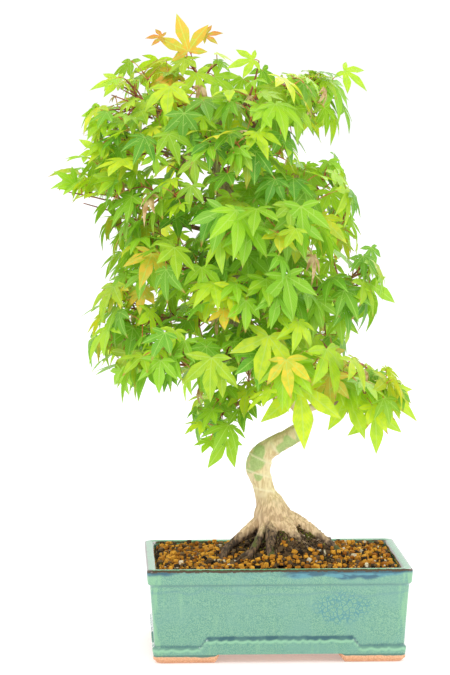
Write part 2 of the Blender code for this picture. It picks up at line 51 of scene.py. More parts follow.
up = Vector((0, 0, 1))


def placed(x, y, z):
    # a point in millimetres from the middle of the pot
    return Vector((x, y, z)) * mm + potMiddle


def smoothstep(low, high, value):
    share = min(1.0, max(0.0, (value - low) / (high - low)))
    return share * share * (3 - 2 * share)


def lumpy(x, y, z):
    return noise.noise(Vector((x, y, z)))


# tools for objects
def deselectAll():
    if bpy.context.object and bpy.context.object.mode != "OBJECT":
        bpy.ops.object.mode_set(mode="OBJECT")
    bpy.ops.object.select_all(action="DESELECT")


def pick(*pieces):
    deselectAll()
    for piece in pieces:
        piece.select_set(True)
    bpy.context.view_layer.objects.active = pieces[0]


def joinPieces(*pieces):
    pick(*pieces)
    bpy.ops.object.join()
    return bpy.context.object


def editAll():
    bpy.ops.object.mode_set(mode="EDIT")
    bpy.ops.mesh.select_all(action="SELECT")


def closeSeams(gap):
    editAll()
    bpy.ops.mesh.remove_doubles(threshold=gap)
    bpy.ops.mesh.normals_make_consistent(inside=False)
    bpy.ops.object.mode_set(mode="OBJECT")


def newPiece(name, mesh):
    piece = bpy.data.objects.new(name, mesh)
    bpy.context.scene.collection.objects.link(piece)
    return piece


def applyAll(piece):
    pick(piece)
    for modifier in list(piece.modifiers):
        bpy.ops.object.modifier_apply(modifier=modifier.name)


def movedBy(points, matrix):
    return points @ np.array(matrix.to_3x3()).T + np.array(matrix.translation)


def setAttribute(mesh, name, values):
    layer = mesh.attributes.new(name, "FLOAT", "POINT")
    layer.data.foreach_set("value", np.asarray(values, np.float32))


def vertexPlaces(mesh):
    flat = np.empty(len(mesh.vertices) * 3, np.float32)
    mesh.vertices.foreach_get("co", flat)
    return flat.reshape(-1, 3).astype(np.float64)


def takeShape(piece, layers):
    # keeps a model's points, faces and numbers, and removes the model itself
    shape = (vertexPlaces(piece.data), [tuple(face.vertices) for face in piece.data.polygons], layers)
    bpy.data.objects.remove(piece, do_unlink=True)
    return shape


# tools for materials
def newMaterial(name, roughness, specular=0.5):
    material = bpy.data.materials.new(name)
    material.use_nodes = True
    tree = material.node_tree
    shader = tree.nodes["Principled BSDF"]
    shader.inputs["Roughness"].default_value = roughness
    shader.inputs["Specular IOR Level"].default_value = specular
    return material, tree, shader


def giveMaterial(material, *pieces):
    for piece in pieces:
        piece.data.materials.clear()
        piece.data.materials.append(material)


def addNode(tree, kind, inputs=None, **settings):
    made = tree.nodes.new("ShaderNode" + kind)
    for key, value in settings.items():
        setattr(made, key, value)
    for key, value in (inputs or {}).items():
        if isinstance(value, bpy.types.NodeSocket):
            tree.links.new(value, made.inputs[key])
        else:
            made.inputs[key].default_value = value
    return made


def objectPlace(tree, location=(0, 0, 0), scale=(1, 1, 1)):
    coordinates = addNode(tree, "TexCoord").outputs["Object"]
    inputs = {"Vector": coordinates, "Location": location, "Scale": scale}
    return addNode(tree, "Mapping", inputs).outputs["Vector"]


def noiseOf(vector, scale, detail=3.0, distortion=0.0):
    inputs = {"Vector": vector, "Scale": scale, "Detail": detail, "Distortion": distortion}
    return addNode(vector.id_data, "TexNoise", inputs).outputs["Fac"]


def cellEdges(vector, scale):
    inputs = {"Vector": vector, "Scale": scale}
    return addNode(vector.id_data, "TexVoronoi", inputs, feature="DISTANCE_TO_EDGE").outputs["Distance"]


def bandOf(value, low, high, fromValue=0.0, toValue=1.0):
    inputs = {"Value": value, "From Min": low, "From Max": high, "To Min": fromValue, "To Max": toValue}
    return addNode(value.id_data, "MapRange", inputs, interpolation_type="SMOOTHSTEP").outputs["Result"]


def mathOf(operation, one, two=0.0, three=0.0):
    return addNode(one.id_data, "Math", {0: one, 1: two, 2: three}, operation=operation).outputs["Value"]


def times(one, two):
    return mathOf("MULTIPLY", one, two)


def plus(one, two):
    return mathOf("ADD", one, two)


def mixOf(factor, one, two):
    colours = [c if isinstance(c, bpy.types.NodeSocket) else (*c, 1.0) for c in (one, two)]
    inputs = {"Factor": factor, 6: colours[0], 7: colours[1]}
    return addNode(factor.id_data, "Mix", inputs, data_type="RGBA").outputs[2]


def layCoats(colour, coats):
    # each coat covers its share of what lies under it, where its mask is white
    for share, mask, coat in coats:
        colour = mixOf(mask if share == 1.0 else times(mask, share), colour, coat)
    return colour


def attributeOf(tree, name):
    return addNode(tree, "Attribute", attribute_name=name).outputs["Fac"]


def bumpOf(shader, height, strength, distance):
    bump = addNode(shader.id_data, "Bump", {"Height": height, "Strength": strength, "Distance": distance})
    shader.id_data.links.new(bump.outputs["Normal"], shader.inputs["Normal"])


def setColour(shader, colour):
    shader.id_data.links.new(colour, shader.inputs["Base Color"])


# camera, light and floor
studio = {
    "camera": (-132.4, -2076.6, 419.9),
    "turn": 2.568,
    "down": 4.787,
    "lens": 141.2,
    "room": 1.04,
    # lamp, its place, what it points at, size, watts
    "lamps": (
        ("keyLight", (-1.3, -1.5, 1.6), (0, 0, 0.25), 1.1, 21.0),
        ("backLight", (0.9, 1.5, 1.5), (0, 0, 0.3), 1.2, 14.0),
        ("fillLight", (1.7, -1.0, 0.7), (0, 0, 0.2), 1.2, 10.0),
    ),
    "floor": ((0.80, 0.80, 0.80), (0.82, 0.82, 0.82)),
    "floorGlow": 0.3,
}


def makeStage():
    camera = bpy.data.cameras.new("camera")
    camera.lens = studio["lens"]
    camera.sensor_width = 36.0
    camera.clip_end = 80.0
    eye = newPiece("camera", camera)
    eye.location = placed(*studio["camera"])
    eye.rotation_euler = (math.radians(90 - studio["down"]), 0, math.radians(-studio["turn"]))
    bpy.context.scene.camera = eye
    bpy.context.scene.view_settings.view_transform = "Standard"
    bpy.context.scene.view_settings.look = "None"

    world = bpy.data.worlds.new("paleRoom")
    world.use_nodes = True
    background = world.node_tree.nodes["Background"]
    background.inputs["Color"].default_value = (1.0, 1.0, 1.0, 1.0)
    background.inputs["Strength"].default_value = studio["room"]
    bpy.context.scene.world = world
    for name, spot, aim, size, power in studio["lamps"]:
        light = bpy.data.lights.new(name, "AREA")
        light.size = size
        light.energy = power
        lamp = newPiece(name, light)
        lamp.location = spot
        lamp.rotation_euler = (Vector(aim) - Vector(spot)).to_track_quat("-Z", "Y").to_euler()

    deselectAll()
    bpy.ops.mesh.primitive_plane_add(size=60.0, location=(0, 0, -0.0002))
    floor = bpy.context.object
    floor.name = "floor"
    material, tree, shader = newMaterial("paleFloor", 0.7, 0.2)
    setColour(shader, mixOf(noiseOf(objectPlace(tree), 3.0, 2.0), *studio["floor"]))
    shader.inputs["Emission Color"].default_value = (1.0, 0.99, 0.97, 1.0)
    shader.inputs["Emission Strength"].default_value = studio["floorGlow"]
    giveMaterial(material, floor)


makeStage()
print("camera, light and floor are in place")


# pot, in millimetres
pot = {
    "rim": (102.5, 75.0),
    "wallTop": (100.0, 72.6),
    "wallFoot": (96.5, 69.0),
    "mouth": (94.0, 66.5),
    "cavityFloor": (91.0, 63.5),
    "height": 73.6,
    "band": 61.0,
    "floorTop": 17.0,
    "under": 9.5,
    "footWall": 14.0,
    "gap": (45.0, 31.0),
    "ledgeHigh": 19.5,
    "ledgeLow": 12.8,
    "ledgeRun": (58.5, 40.0),
    "proud": 1.3,
    "corner": 4.0,
    "step": 1.0,
    # rows round the foot, under the lip and over it, as height and how far in or out; heights inside
    "footRows": ((0.0, 2.2), (0.3, 1.1), (0.9, 0.4), (1.9, 0.0)),
    "underLip": ((60.4, 0.0), (60.9, 0.15), (61.4, 0.5), (62.0, 0.8), (62.8, 0.95), (64.0, 1.0)),
    "lipRows": (
        (66.0, 0.35), (68.0, 0.2), (70.0, 0.05), (71.3, 0.0), (72.2, 0.2), (72.9, 0.7), (73.35, 1.5),
        (73.6, 2.6), (73.6, 4.2), (73.4, 5.6), (73.0, 6.7), (72.3, 7.6), (71.4, 8.2),
    ),
    "insideRows": (70.0, 68.0, 65.0, 60.0, 45.0, 30.0, 19.0, 17.0),
    "drain": (45, 9),
    "glazeLine": 9.0,
}


def halfAt(z, bottom, top, foot, head):
    # half sizes of a tapering wall at a height
    share = (z - bottom) / (top - bottom)
    return [a + (b - a) * share for a, b in zip(foot, head)]


def wallHalf(z):
    return halfAt(z, pot["under"], pot["band"], pot["wallFoot"], pot["wallTop"])


def potProfile():
    # rows from under the floor, round the outside, over the lip and down the inside:
    # height, half sizes, and how far the row follows the foot's lower edge
    hollow = [a - pot["footWall"] for a in pot["wallFoot"]]
    rows = [(pot["under"] + 0.8, hollow, 0.0), (0.9, hollow, 1.0), (0.0, [a + 0.9 for a in hollow], 1.0)]
    rows += [(z, [a - inset for a in wallHalf(z)], 1.0) for z, inset in pot["footRows"]]
    rows += [(1.9 + number * 1.1, wallHalf(4.0), 1.0 - number * 0.22) for number in range(1, 5)]
    for start, rise, count in ((6.3, 0.65, 27), (23.2, 2.6, 15)):
        rows += [(start + number * rise, wallHalf(start + number * rise), 0.0) for number in range(1, count)]
    lip = pot["rim"]
    for z, share in pot["underLip"]:
        rows.append((z, [a + (s - 0.5 - a) * share for a, s in zip(wallHalf(60.0), lip)], 0.0))
    rows += [(z, [a - inset for a in lip], 0.0) for z, inset in pot["lipRows"]]
    for z in pot["insideRows"]:
        inset = 2.0 if z < 18 else 0.0
        half = halfAt(z, pot["floorTop"], pot["height"], pot["cavityFloor"], pot["mouth"])
        rows.append((z, [a - inset for a in half], 0.0))
    return rows


def alongWall(x, y, limits):
    # how far along its own wall a place lies, and that wall's limit
    front = abs(y) / pot["wallFoot"][1] > abs(x) / pot["wallFoot"][0]
    return (abs(x), limits[0]) if front else (abs(y), limits[1])


def footLift(x, y):
    # how far the foot's lower edge is raised where the wall spans between two feet
    along, gap = alongWall(x, y, pot["gap"])
    return pot["under"] * (1 - smoothstep(gap - 1.0, gap + 5.5, along))


def ledgeShape(x, y, z):
    # the stepped skirt stands proud of the wall below its ledge
    along, run = alongWall(x, y, pot["ledgeRun"])
    step = pot["ledgeHigh"] - pot["ledgeLow"]
    ledge = pot["ledgeLow"] + step * (1 - smoothstep(run - 3.0, run + 3.5, along))
    flow = lumpy(x * 0.21, y * 0.21, 3.0) * 0.7
    scallop = abs(math.sin((x + y * 0.9) * 0.42 + 2.2 * lumpy(x * 0.08, y * 0.08, 0)))
    proud = pot["proud"] * smoothstep(ledge + 0.3, ledge - 1.8, z + flow)
    drip = smoothstep(ledge - 3.6 - 1.5 * scallop, ledge - 2.2 - 1.5 * scallop, z)
    drip *= smoothstep(ledge + 0.2, ledge - 1.0, z)
    pooled = smoothstep(ledge + 2.1, ledge + 0.9, z + flow)
    pooled *= smoothstep(ledge - 1.7, ledge - 0.4, z + flow * 0.5 + 1.0 * scallop)
    pooled *= 0.82 + 0.18 * smoothstep(-0.25, 0.15, lumpy(x * 0.11, y * 0.11, 7.0))
    pooled *= 1.0 - 0.35 * smoothstep(run - 4, run + 4, along)
    return proud + 0.35 * drip * scallop, drip, pooled


def makePot():
    deselectAll()
    bpy.ops.mesh.primitive_plane_add(size=2.0, location=potMiddle)
    piece = bpy.context.object
    piece.name = "glazedPot"
    rows = potProfile()
    startZ, startHalf, _ = rows[0]
    piece.data.transform(Matrix.Diagonal((startHalf[0] * mm, startHalf[1] * mm, 1, 1)))
    bpy.ops.object.transform_apply(location=True, rotation=True, scale=True)
    editAll()
    bpy.ops.transform.translate(value=(0, 0, startZ * mm))
    bpy.ops.mesh.bevel(offset=pot["corner"] * mm, segments=6, affect="VERTICES")
    bpy.ops.mesh.delete(type="ONLY_FACE")
    bpy.ops.mesh.select_mode(type="EDGE")
    for long in (True, False):
        bpy.ops.mesh.select_all(action="DESELECT")
        shape = bmesh.from_edit_mesh(piece.data)
        for edge in shape.edges:
            run = edge.verts[0].co - edge.verts[1].co
            if run.length > 20 * mm and (abs(run.x) > abs(run.y)) == long:
                edge.select = True
        bmesh.update_edit_mesh(piece.data)
        length = 2 * startHalf[0 if long else 1]
        bpy.ops.mesh.subdivide(number_cuts=int(length / pot["step"]))
    bpy.ops.mesh.select_mode(type="VERT")
    bpy.ops.mesh.select_all(action="SELECT")
    z, half = startZ, startHalf
    for nextZ, nextHalf, _ in rows[1:]:
        bpy.ops.mesh.extrude_region_move(TRANSFORM_OT_translate={"value": (0, 0, (nextZ - z) * mm)})
        bpy.ops.transform.resize(
            value=(nextHalf[0] / half[0], nextHalf[1] / half[1], 1.0),
            center_override=(potMiddle.x, potMiddle.y, nextZ * mm),
        )
        z, half = nextZ, nextHalf
    bpy.ops.mesh.edge_face_add()
    bpy.ops.mesh.select_all(action="DESELECT")
    shape = bmesh.from_edit_mesh(piece.data)
    for edge in shape.edges:
        edge.select = all(abs(vertex.co.z - startZ * mm) < 0.00001 for vertex in edge.verts)
    bmesh.update_edit_mesh(piece.data)
    bpy.ops.mesh.edge_face_add()
    bpy.ops.mesh.select_all(action="SELECT")
    bpy.ops.mesh.normals_make_consistent(inside=False)
    bpy.ops.object.mode_set(mode="OBJECT")

    mesh = piece.data
    ringSize = len(mesh.vertices) // len(rows)
    print("pot outline of", ringSize, "points,", len(rows), "rows,", len(mesh.vertices), "in all")
    marks = {"glazeDrip": [], "glazePool": [], "profileRow": []}
    for vertex in mesh.vertices:
        row = vertex.index // ringSize
        _, half, follows = rows[row]
        x, y, z = (vertex.co - potMiddle) / mm
        drip = pooled = 0.0
        if follows:
            z += footLift(x, y) * follows
        if 6 < row < 44:
            proud, drip, pooled = ledgeShape(x, y, z)
            x *= 1 + proud / half[0] * (abs(x) / half[0]) ** 0.3
            y *= 1 + proud / half[1] * (abs(y) / half[1]) ** 0.3
        if row > 6:
            soft = noise.noise(Vector((x, y, z)) * 0.035) * 0.25
            x += soft * x / half[0]
            y += soft * y / half[1]
        vertex.co = placed(x, y, z)
        for name, value in zip(marks, (drip, pooled, row)):
            marks[name].append(value)
    for name, values in marks.items():
        setAttribute(mesh, name, values)

    drainX, drainRadius = pot["drain"]
    for x in (-drainX, drainX):
        deselectAll()
        bpy.ops.mesh.primitive_cylinder_add(
            vertices=40, radius=drainRadius * mm, depth=24 * mm, location=placed(x, 0, 13)
        )
        drill = bpy.context.object
        cut = piece.modifiers.new("drainHole", "BOOLEAN")
        cut.operation = "DIFFERENCE"
        cut.object = drill
        applyAll(piece)
        bpy.data.objects.remove(drill, do_unlink=True)
    pick(piece)
    bpy.ops.object.shade_smooth_by_angle(angle=math.radians(50))
    return piece


glaze = {
    "sage": ((0.112, 0.28, 0.205), (0.21, 0.41, 0.265)),
    "crazing": (0.08, 0.25, 0.25),
    "cloud": (0.155, 0.335, 0.27),
    "streak": (0.25, 0.47, 0.27),
    "net": (0.045, 0.21, 0.26),
    "corner": (0.25, 0.50, 0.27),
    "blue": ((0.012, 0.085, 0.15), (0.075, 0.26, 0.33)),
    "blueEdge": (0.010, 0.07, 0.12),
    "tideLine": (0.11, 0.25, 0.26),
    "bandLine": (0.13, 0.27, 0.27),
    "drip": (0.26, 0.52, 0.32),
    "pool": (0.005, 0.07, 0.10),
    "lipTop": (0.115, 0.37, 0.19),
    "lipEdge": (0.06, 0.035, 0.014),
    "lipInner": (0.07, 0.05, 0.02),
    "inside": (0.025, 0.11, 0.07),
    "footLine": (0.05, 0.12, 0.10),
    "clay": ((0.60, 0.29, 0.15), (0.80, 0.44, 0.25)),
    # the netted patch: its middle along and up the front, in metres, and where it fades out
    "netMiddle": (0.049, 0.043),
    "netFade": (0.026, 0.040),
    # clear coat: weight and roughness
    "coat": (0.35, 0.06),
}


def makeGlaze(piece, lip, line):
    material, tree, shader = newMaterial("runningGlaze", 0.16)
    place = objectPlace(tree, location=-potMiddle)
    split = addNode(tree, "SeparateXYZ", {"Vector": place})
    x, y, z = (split.outputs[axis] for axis in "XYZ")
    row, drip, pooled = (attributeOf(tree, name) for name in ("profileRow", "glazeDrip", "glazePool"))
    fine = noiseOf(place, 1250.0, 2.0)
    streaks = noiseOf(objectPlace(tree, scale=(1, 1, 0.12)), 300.0, 3.0, 0.4)
    crazing = bandOf(cellEdges(place, 780.0), 0.03, 0.16, 1.0, 0.0)

    # a patch of netted crackle on the front, to the right
    net = bandOf(cellEdges(place, 280.0), 0.02, 0.12, 1.0, 0.0)
    aside = mathOf("POWER", mathOf("SUBTRACT", x, glaze["netMiddle"][0]), 2.0)
    above = mathOf("POWER", times(mathOf("SUBTRACT", z, glaze["netMiddle"][1]), 1.7), 2.0)
    away = plus(mathOf("SQRT", plus(aside, above)), times(noiseOf(place, 60.0), 0.024))
    net = times(net, times(bandOf(away, *glaze["netFade"], 1.0, 0.0), bandOf(y, -0.060, -0.065)))

    # the glaze runs pale down the upright corners and pools blue under the lip and over the ledge
    ragged = times(streaks, 0.016)
    cornerX = bandOf(plus(mathOf("ABSOLUTE", x), ragged), 0.097, 0.105)
    cornerY = bandOf(plus(mathOf("ABSOLUTE", y), ragged), 0.069, 0.077)
    corner = times(times(cornerX, cornerY), bandOf(streaks, 0.4, 0.55))
    tide = noiseOf(objectPlace(tree, scale=(1, 1, 0.2)), 28.0, 2.0)
    level = plus(z, mathOf("MULTIPLY_ADD", tide, 0.022, -0.011))
    drift = mathOf("MAXIMUM", bandOf(x, -0.008, 0.012), bandOf(x, -0.070, -0.088))
    underLip = times(bandOf(level, 0.0670, 0.0695), bandOf(z, 0.0726, 0.0716))
    underLip = times(underLip, mathOf("MAXIMUM", drift, 0.2))
    ripple = noiseOf(objectPlace(tree, scale=(1, 1, 3.0)), 70.0, 3.0)
    blue = mixOf(bandOf(ripple, 0.42, 0.58), *glaze["blue"])
    blue = mixOf(bandOf(z, 0.0695, 0.0712), blue, glaze["blueEdge"])
    colour = layCoats(mixOf(bandOf(fine, 0.40, 0.60), *glaze["sage"]), (
        (0.35, crazing, glaze["crazing"]),
        (0.55, bandOf(noiseOf(place, 38.0, 4.0), 0.42, 0.66), glaze["cloud"]),
        (0.4, bandOf(streaks, 0.52, 0.85), glaze["streak"]),
        (0.7, net, glaze["net"]),
        (0.55, corner, glaze["corner"]),
        (0.9, underLip, blue),
        (0.35, times(bandOf(level, 0.0530, 0.0542), bandOf(level, 0.0562, 0.0550)), glaze["tideLine"]),
        (0.5, times(bandOf(z, 0.0592, 0.0606), bandOf(z, 0.0630, 0.0612)), glaze["bandLine"]),
        (0.75, drip, glaze["drip"]),
        (0.9, pooled, glaze["pool"]),
    ))

    # lip: pale green top, brown where the glaze thins on its edges, dark green wall inside
    lipRow = plus(row, bandOf(noiseOf(place, 260.0, 3.0), 0.35, 0.65, -0.45, 0.45))
    outerEdge = times(bandOf(lipRow, lip, lip + 0.6), bandOf(lipRow, lip + 3.4, lip + 2.6))
    innerEdge = times(bandOf(lipRow, lip + 6.6, lip + 7.6), bandOf(lipRow, lip + 9.6, lip + 8.6))
    # bare fired clay below the glaze line
    clayRow = plus(row, mathOf("MULTIPLY_ADD", noiseOf(place, 120.0, 2.0), 1.6, -0.8))
    bare = bandOf(clayRow, line - 0.3, line + 0.3, 1.0, 0.0)
    footLine = times(bandOf(clayRow, line - 0.2, line + 0.2), bandOf(row, line + 2.2, line + 0.9))
    clay = mixOf(bandOf(noiseOf(place, 900.0, 3.0), 0.35, 0.7), *glaze["clay"])
    setColour(shader, layCoats(colour, (
        (1.0, bandOf(lipRow, lip + 1.5, lip + 3.0), glaze["lipTop"]),
        (1.0, outerEdge, glaze["lipEdge"]),
        (1.0, innerEdge, glaze["lipInner"]),
        (1.0, bandOf(row, lip + 8.5, lip + 10.0), glaze["inside"]),
        (0.75, footLine, glaze["footLine"]),
        (1.0, bare, clay),
    )))
    tree.links.new(mathOf("MULTIPLY_ADD", bare, 0.62, 0.14), shader.inputs["Roughness"])
    shader.inputs["Coat Weight"].default_value, shader.inputs["Coat Roughness"].default_value = glaze["coat"]
    bumpOf(shader, plus(times(fine, 0.25), noiseOf(place, 90.0, 2.0)), 0.18, 0.0006)
    giveMaterial(material, piece)


potPiece = makePot()
lipStart = next(number for number, row in enumerate(potProfile()) if row[0] >= 71.3)
makeGlaze(potPiece, lipStart, pot["glazeLine"])
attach(potPiece, "root")
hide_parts("pot")
print("pot made,", len(potPiece.data.polygons), "faces")


# wood, in millimetres from the middle of the pot: x, y, z, radius
trunkPoints = (
    (3, 0, 66, 15.5), (3, 0, 80, 16.0), (1, 0, 95, 16.0), (-2, 0, 106, 14.6), (-4, 0, 114, 11.6),
    (-7, 0, 121, 8.9), (-10, 0, 131, 8.2), (-13, 0, 141, 9.6), (-12, 0, 148, 10.0), (-8, -1, 155, 8.7),
    (3, -2, 162, 7.8), (14, -2, 168, 7.4), (21, -2, 173, 7.0), (24, 0, 183, 6.8), (14, 3, 197, 6.6),
    (-8, 5, 210, 6.3), (-23, 4, 230, 6.0), (-27, 0, 255, 5.6), (-20, -3, 285, 5.2),
    (-18, -3, 315, 4.8), (-28, 0, 345, 4.3), (-42, 3, 370, 3.8), (-52, 3, 400, 3.2),
    (-57, 0, 430, 2.5), (-61, 0, 452, 1.8),
)
rootPoints = (
    (-39, -8, 79, 2.6, 4.6), (-21, -30, 77, 2.0, 3.4), (-6, -38, 77, 2.2, 4.6), (23, -30, 79, 2.8, 6.4),
    (48, -8, 79, 3.0, 7.4), (36, 22, 78, 3.0, 6.4), (4, 37, 77, 3.0, 6.4), (-27, 25, 77, 2.6, 5.0),
)
limbPoints = {
    "left_top": (403, (-80, -4, 419), (-100, -6, 428)),
    "left_upper": (374, (-72, -12, 387), (-98, -18, 394)),
    "left_mid": (322, (-58, 10, 331), (-96, 8, 339)),
    "left_low": (258, (-60, -12, 262), (-94, -18, 262)),
    "left_front_low": (234, (-45, -32, 231), (-68, -46, 228)),
    "hanging": (209, (-24, -14, 198), (-36, -20, 193)),
    "right_low": (188, (50, -12, 196), (72, -18, 196)),
    "right_low_back": (198, (45, 28, 214), (68, 40, 221)),
    "front_low": (206, (5, -28, 214), (16, -48, 218)),
    "right_mid": (277, (12, -14, 283), (48, -20, 287)),
    "right_mid_back": (303, (12, 24, 318), (42, 38, 328)),
    "right_upper": (345, (0, -12, 358), (28, -18, 367)),
    "right_top": (385, (-25, 12, 405), (4, 16, 424)),
    "right_top_front": (406, (-32, -14, 424), (-8, -22, 438)),
    "front_mid": (262, (-22, -34, 268), (-20, -54, 272)),
    "front_upper": (315, (-10, -32, 325), (-6, -52, 330)),
    "front_top": (365, (-38, -26, 377), (-34, -44, 384)),
    "left_front": (291, (-48, -30, 298), (-72, -42, 302)),
    "left_front_upper": (349, (-58, -26, 356), (-78, -36, 358)),
    "back_low": (213, (-6, 34, 224), (4, 58, 228)),
    "back_mid": (256, (-36, 34, 268), (-44, 58, 272)),
    "back_upper": (318, (-22, 34, 334), (-16, 56, 340)),
    "back_left": (298, (-54, 30, 309), (-78, 42, 315)),
    "back_top": (374, (-50, 26, 394), (-52, 44, 402)),
}
wood = {
    "limbBaseShare": 0.5,
    "limbEnd": 1.5,
    "rootCrown": (-1.0, 0.0, 106.0, 8.0),
    "rootDive": 13.0,
    "voxel": 0.85,
    # heights of the bark's relief: broad lumps, fine grain, ridges on the roots, scars
    "lump": 0.5,
    "grain": 0.32,
    "rootRidge": 0.9,
    "scarRidge": 0.45,
    # pale raised rings where old wire and branches scarred the bark: two ends, x and z
    "scars": (
        ((-22, 155.5), (-3, 146)), ((-3, 163), (3, 153)), ((15, 174), (21, 165)),
        ((-23, 141.5), (-2, 135)), ((-17, 127), (-1, 124)), ((24, 186), (17, 178)),
    ),
    # smooth green places: x, z, reach
    "greenPlaces": ((-17, 147, 9), (-13, 156, 6), (4, 159, 5), (12, 163, 5.5), (20, 168, 5.5), (-15, 137, 4)),
}


def smoothLine(points, steps):
    line = []
    ends = [points[0], *points, points[-1]]
    for a, b, c, d in zip(ends, ends[1:], ends[2:], ends[3:]):
        for step in range(steps):
            t = step / steps
            spot = []
            for p, q, r, s in zip(a, b, c, d):
                square, cube = 2 * p - 5 * q + 4 * r - s, 3 * q - p - 3 * r + s
                spot.append(0.5 * (2 * q + (r - p) * t + square * t * t + cube * t ** 3))
            line.append(tuple(spot))
    line.append(tuple(points[-1]))
    return line


def trunkAt(height):
    for low, high in zip(trunkPoints, trunkPoints[1:]):
        if low[2] <= height <= high[2]:
            share = (height - low[2]) / (high[2] - low[2])
            return tuple(a + (b - a) * share for a, b in zip(low, high))
    return trunkPoints[-1]


def rootLine(root):
    x, y, z, radius, startRadius = root
    crown = wood["rootCrown"]
    drop = crown[2] - z
    shoulder = (crown[0] + (x - crown[0]) * 0.38, y * 0.38, crown[2] - drop * 0.32, startRadius)
    knee = (crown[0] + (x - crown[0]) * 0.74, y * 0.74, crown[2] - drop * 0.74, (startRadius + radius) / 2)
    tip = (x * 1.14, y * 1.14, z - wood["rootDive"], radius * 0.7)
    return smoothLine([crown, shoulder, knee, (x, y, z - 1, radius), tip], 6)


def limbLine(name):
    if name == "apex":
        return list(trunkPoints[-3:])
    height, *points = limbPoints[name]
    x, y, z, radius = trunkAt(height)
    base = max(radius * wood["limbBaseShare"], wood["limbEnd"] * 1.2)
    radii = (base, (base + wood["limbEnd"]) / 2, wood["limbEnd"])
    return smoothLine([(*p, r) for p, r in zip([(x, y, z), *points], radii)], 6)


def addTubes(name, lines, resolution):
    # one mesh of round tubes along lines of x, y, z and radius
    curve = bpy.data.curves.new(name, "CURVE")
    curve.dimensions = "3D"
    curve.bevel_depth = mm
    curve.bevel_resolution = resolution
    curve.use_fill_caps = True
    for line in lines:
        spline = curve.splines.new("POLY")
        spline.points.add(len(line) - 1)
        for point, (x, y, z, radius) in zip(spline.points, line):
            point.co = (*placed(x, y, z), 1.0)
            point.radius = radius
    pick(newPiece(name, curve))
    bpy.ops.object.convert(target="MESH")
    closeSeams(0.000005)
    return bpy.context.object


def nearLine(x, z, ends):
    # distance from a place on the front to a short straight line
    (ax, az), (bx, bz) = ends
    length = (bx - ax) ** 2 + (bz - az) ** 2
    share = min(1.0, max(0.0, ((x - ax) * (bx - ax) + (z - az) * (bz - az)) / length))
    return math.hypot(x - ax - (bx - ax) * share, z - az - (bz - az) * share)


def makeWood():
    lines = [smoothLine(trunkPoints, 6)]
    lines += [rootLine(root) for root in rootPoints]
    lines += [limbLine(name) for name in limbPoints]
    for number, root in enumerate(rootPoints):
        # each surface root forks once before it goes under
        side = -1 if number % 2 else 1
        main = rootLine(root)
        x, y, z, radius = main[len(main) // 2 + 2]
        away = Vector((root[0], root[1], 0)).normalized()
        aside = Vector((-away.y, away.x, 0)) * side
        fork = Vector((x, y, z)) + away * 9 + aside * 8 - Vector((0, 0, 8))
        end = fork + away * 5 + aside * 4 - Vector((0, 0, 12))
        lines.append(smoothLine([(x, y, z, radius * 0.7), (*fork, radius * 0.55), (*end, 1.0)], 5))
    piece = addTubes("livingWood", lines, 5)
    piece.data.remesh_voxel_size = wood["voxel"] * mm
    bpy.ops.object.voxel_remesh()
    soften = piece.modifiers.new("soften", "SMOOTH")
    soften.factor = 0.5
    soften.iterations = 6
    applyAll(piece)

    mesh = piece.data
    places = (vertexPlaces(mesh) - np.array(potMiddle)) / mm
    normals = np.array([vertex.normal for vertex in mesh.vertices])
    marks = {"greenPatch": [], "darkBase": [], "scarRing": [], "twigShare": []}
    for number, (x, y, z) in enumerate(places):
        spot = Vector((x, y, z))
        low = smoothstep(118, 96, z)
        front = smoothstep(4, -1, y - 2)
        lift = wood["lump"] * noise.noise(spot * 0.07) * (1 if z < 200 else 0.4)
        lift += wood["grain"] * lumpy(x * 0.45, y * 0.45, z * 0.22)
        ridge = lumpy(x * 0.32, y * 0.32, z * 0.05 + 4)
        lift += wood["rootRidge"] * low * (0.5 - abs(ridge)) * 1.6
        lift += 0.3 * low * noise.noise(spot * 0.8)
        ring = 0.0
        if 118 < z < 195:
            for ends in wood["scars"]:
                near = nearLine(x, z, ends)
                ring = max(ring, smoothstep(1.2, 0.3, near) * (0.35 + 0.65 * front))
            lift += wood["scarRidge"] * ring - 0.25 * smoothstep(2.8, 1.9, near) * (1 - ring)
        patch = 0.0
        if 115 < z < 200:
            for px, pz, reach in wood["greenPlaces"]:
                near = math.hypot(x - px, z - pz) + 3 * noise.noise(spot * 0.14)
                patch = max(patch, smoothstep(reach * 1.05, reach * 0.75, near))
            backPatch = smoothstep(0.12, 0.4, noise.noise(spot * 0.055 + Vector((7, 0, 3))))
            patch = patch * front + backPatch * (1 - front)
        lift *= 1.0 if z < 250 else 0.6
        places[number] += normals[number] * lift
        edge = 96 + 7 * lumpy(x * 0.11, y * 0.11, 0) - 5 * smoothstep(0, 20, abs(x + 6))
        dark = smoothstep(edge + 3, edge - 5, z + 3 * noise.noise(spot * 0.5))
        middle = trunkAt(z)
        away = math.hypot(x - middle[0], y - middle[1])
        twiggy = smoothstep(8, 30, away) if z > 178 else 0.0
        for name, value in zip(marks, (patch, dark, ring, twiggy)):
            marks[name].append(value)
    mesh.vertices.foreach_set("co", (places * mm + np.array(potMiddle)).astype(np.float32).ravel())
    for name, values in marks.items():
        setAttribute(mesh, name, values)
    mesh.update()
    pick(piece)
    bpy.ops.object.shade_smooth()
    return piece


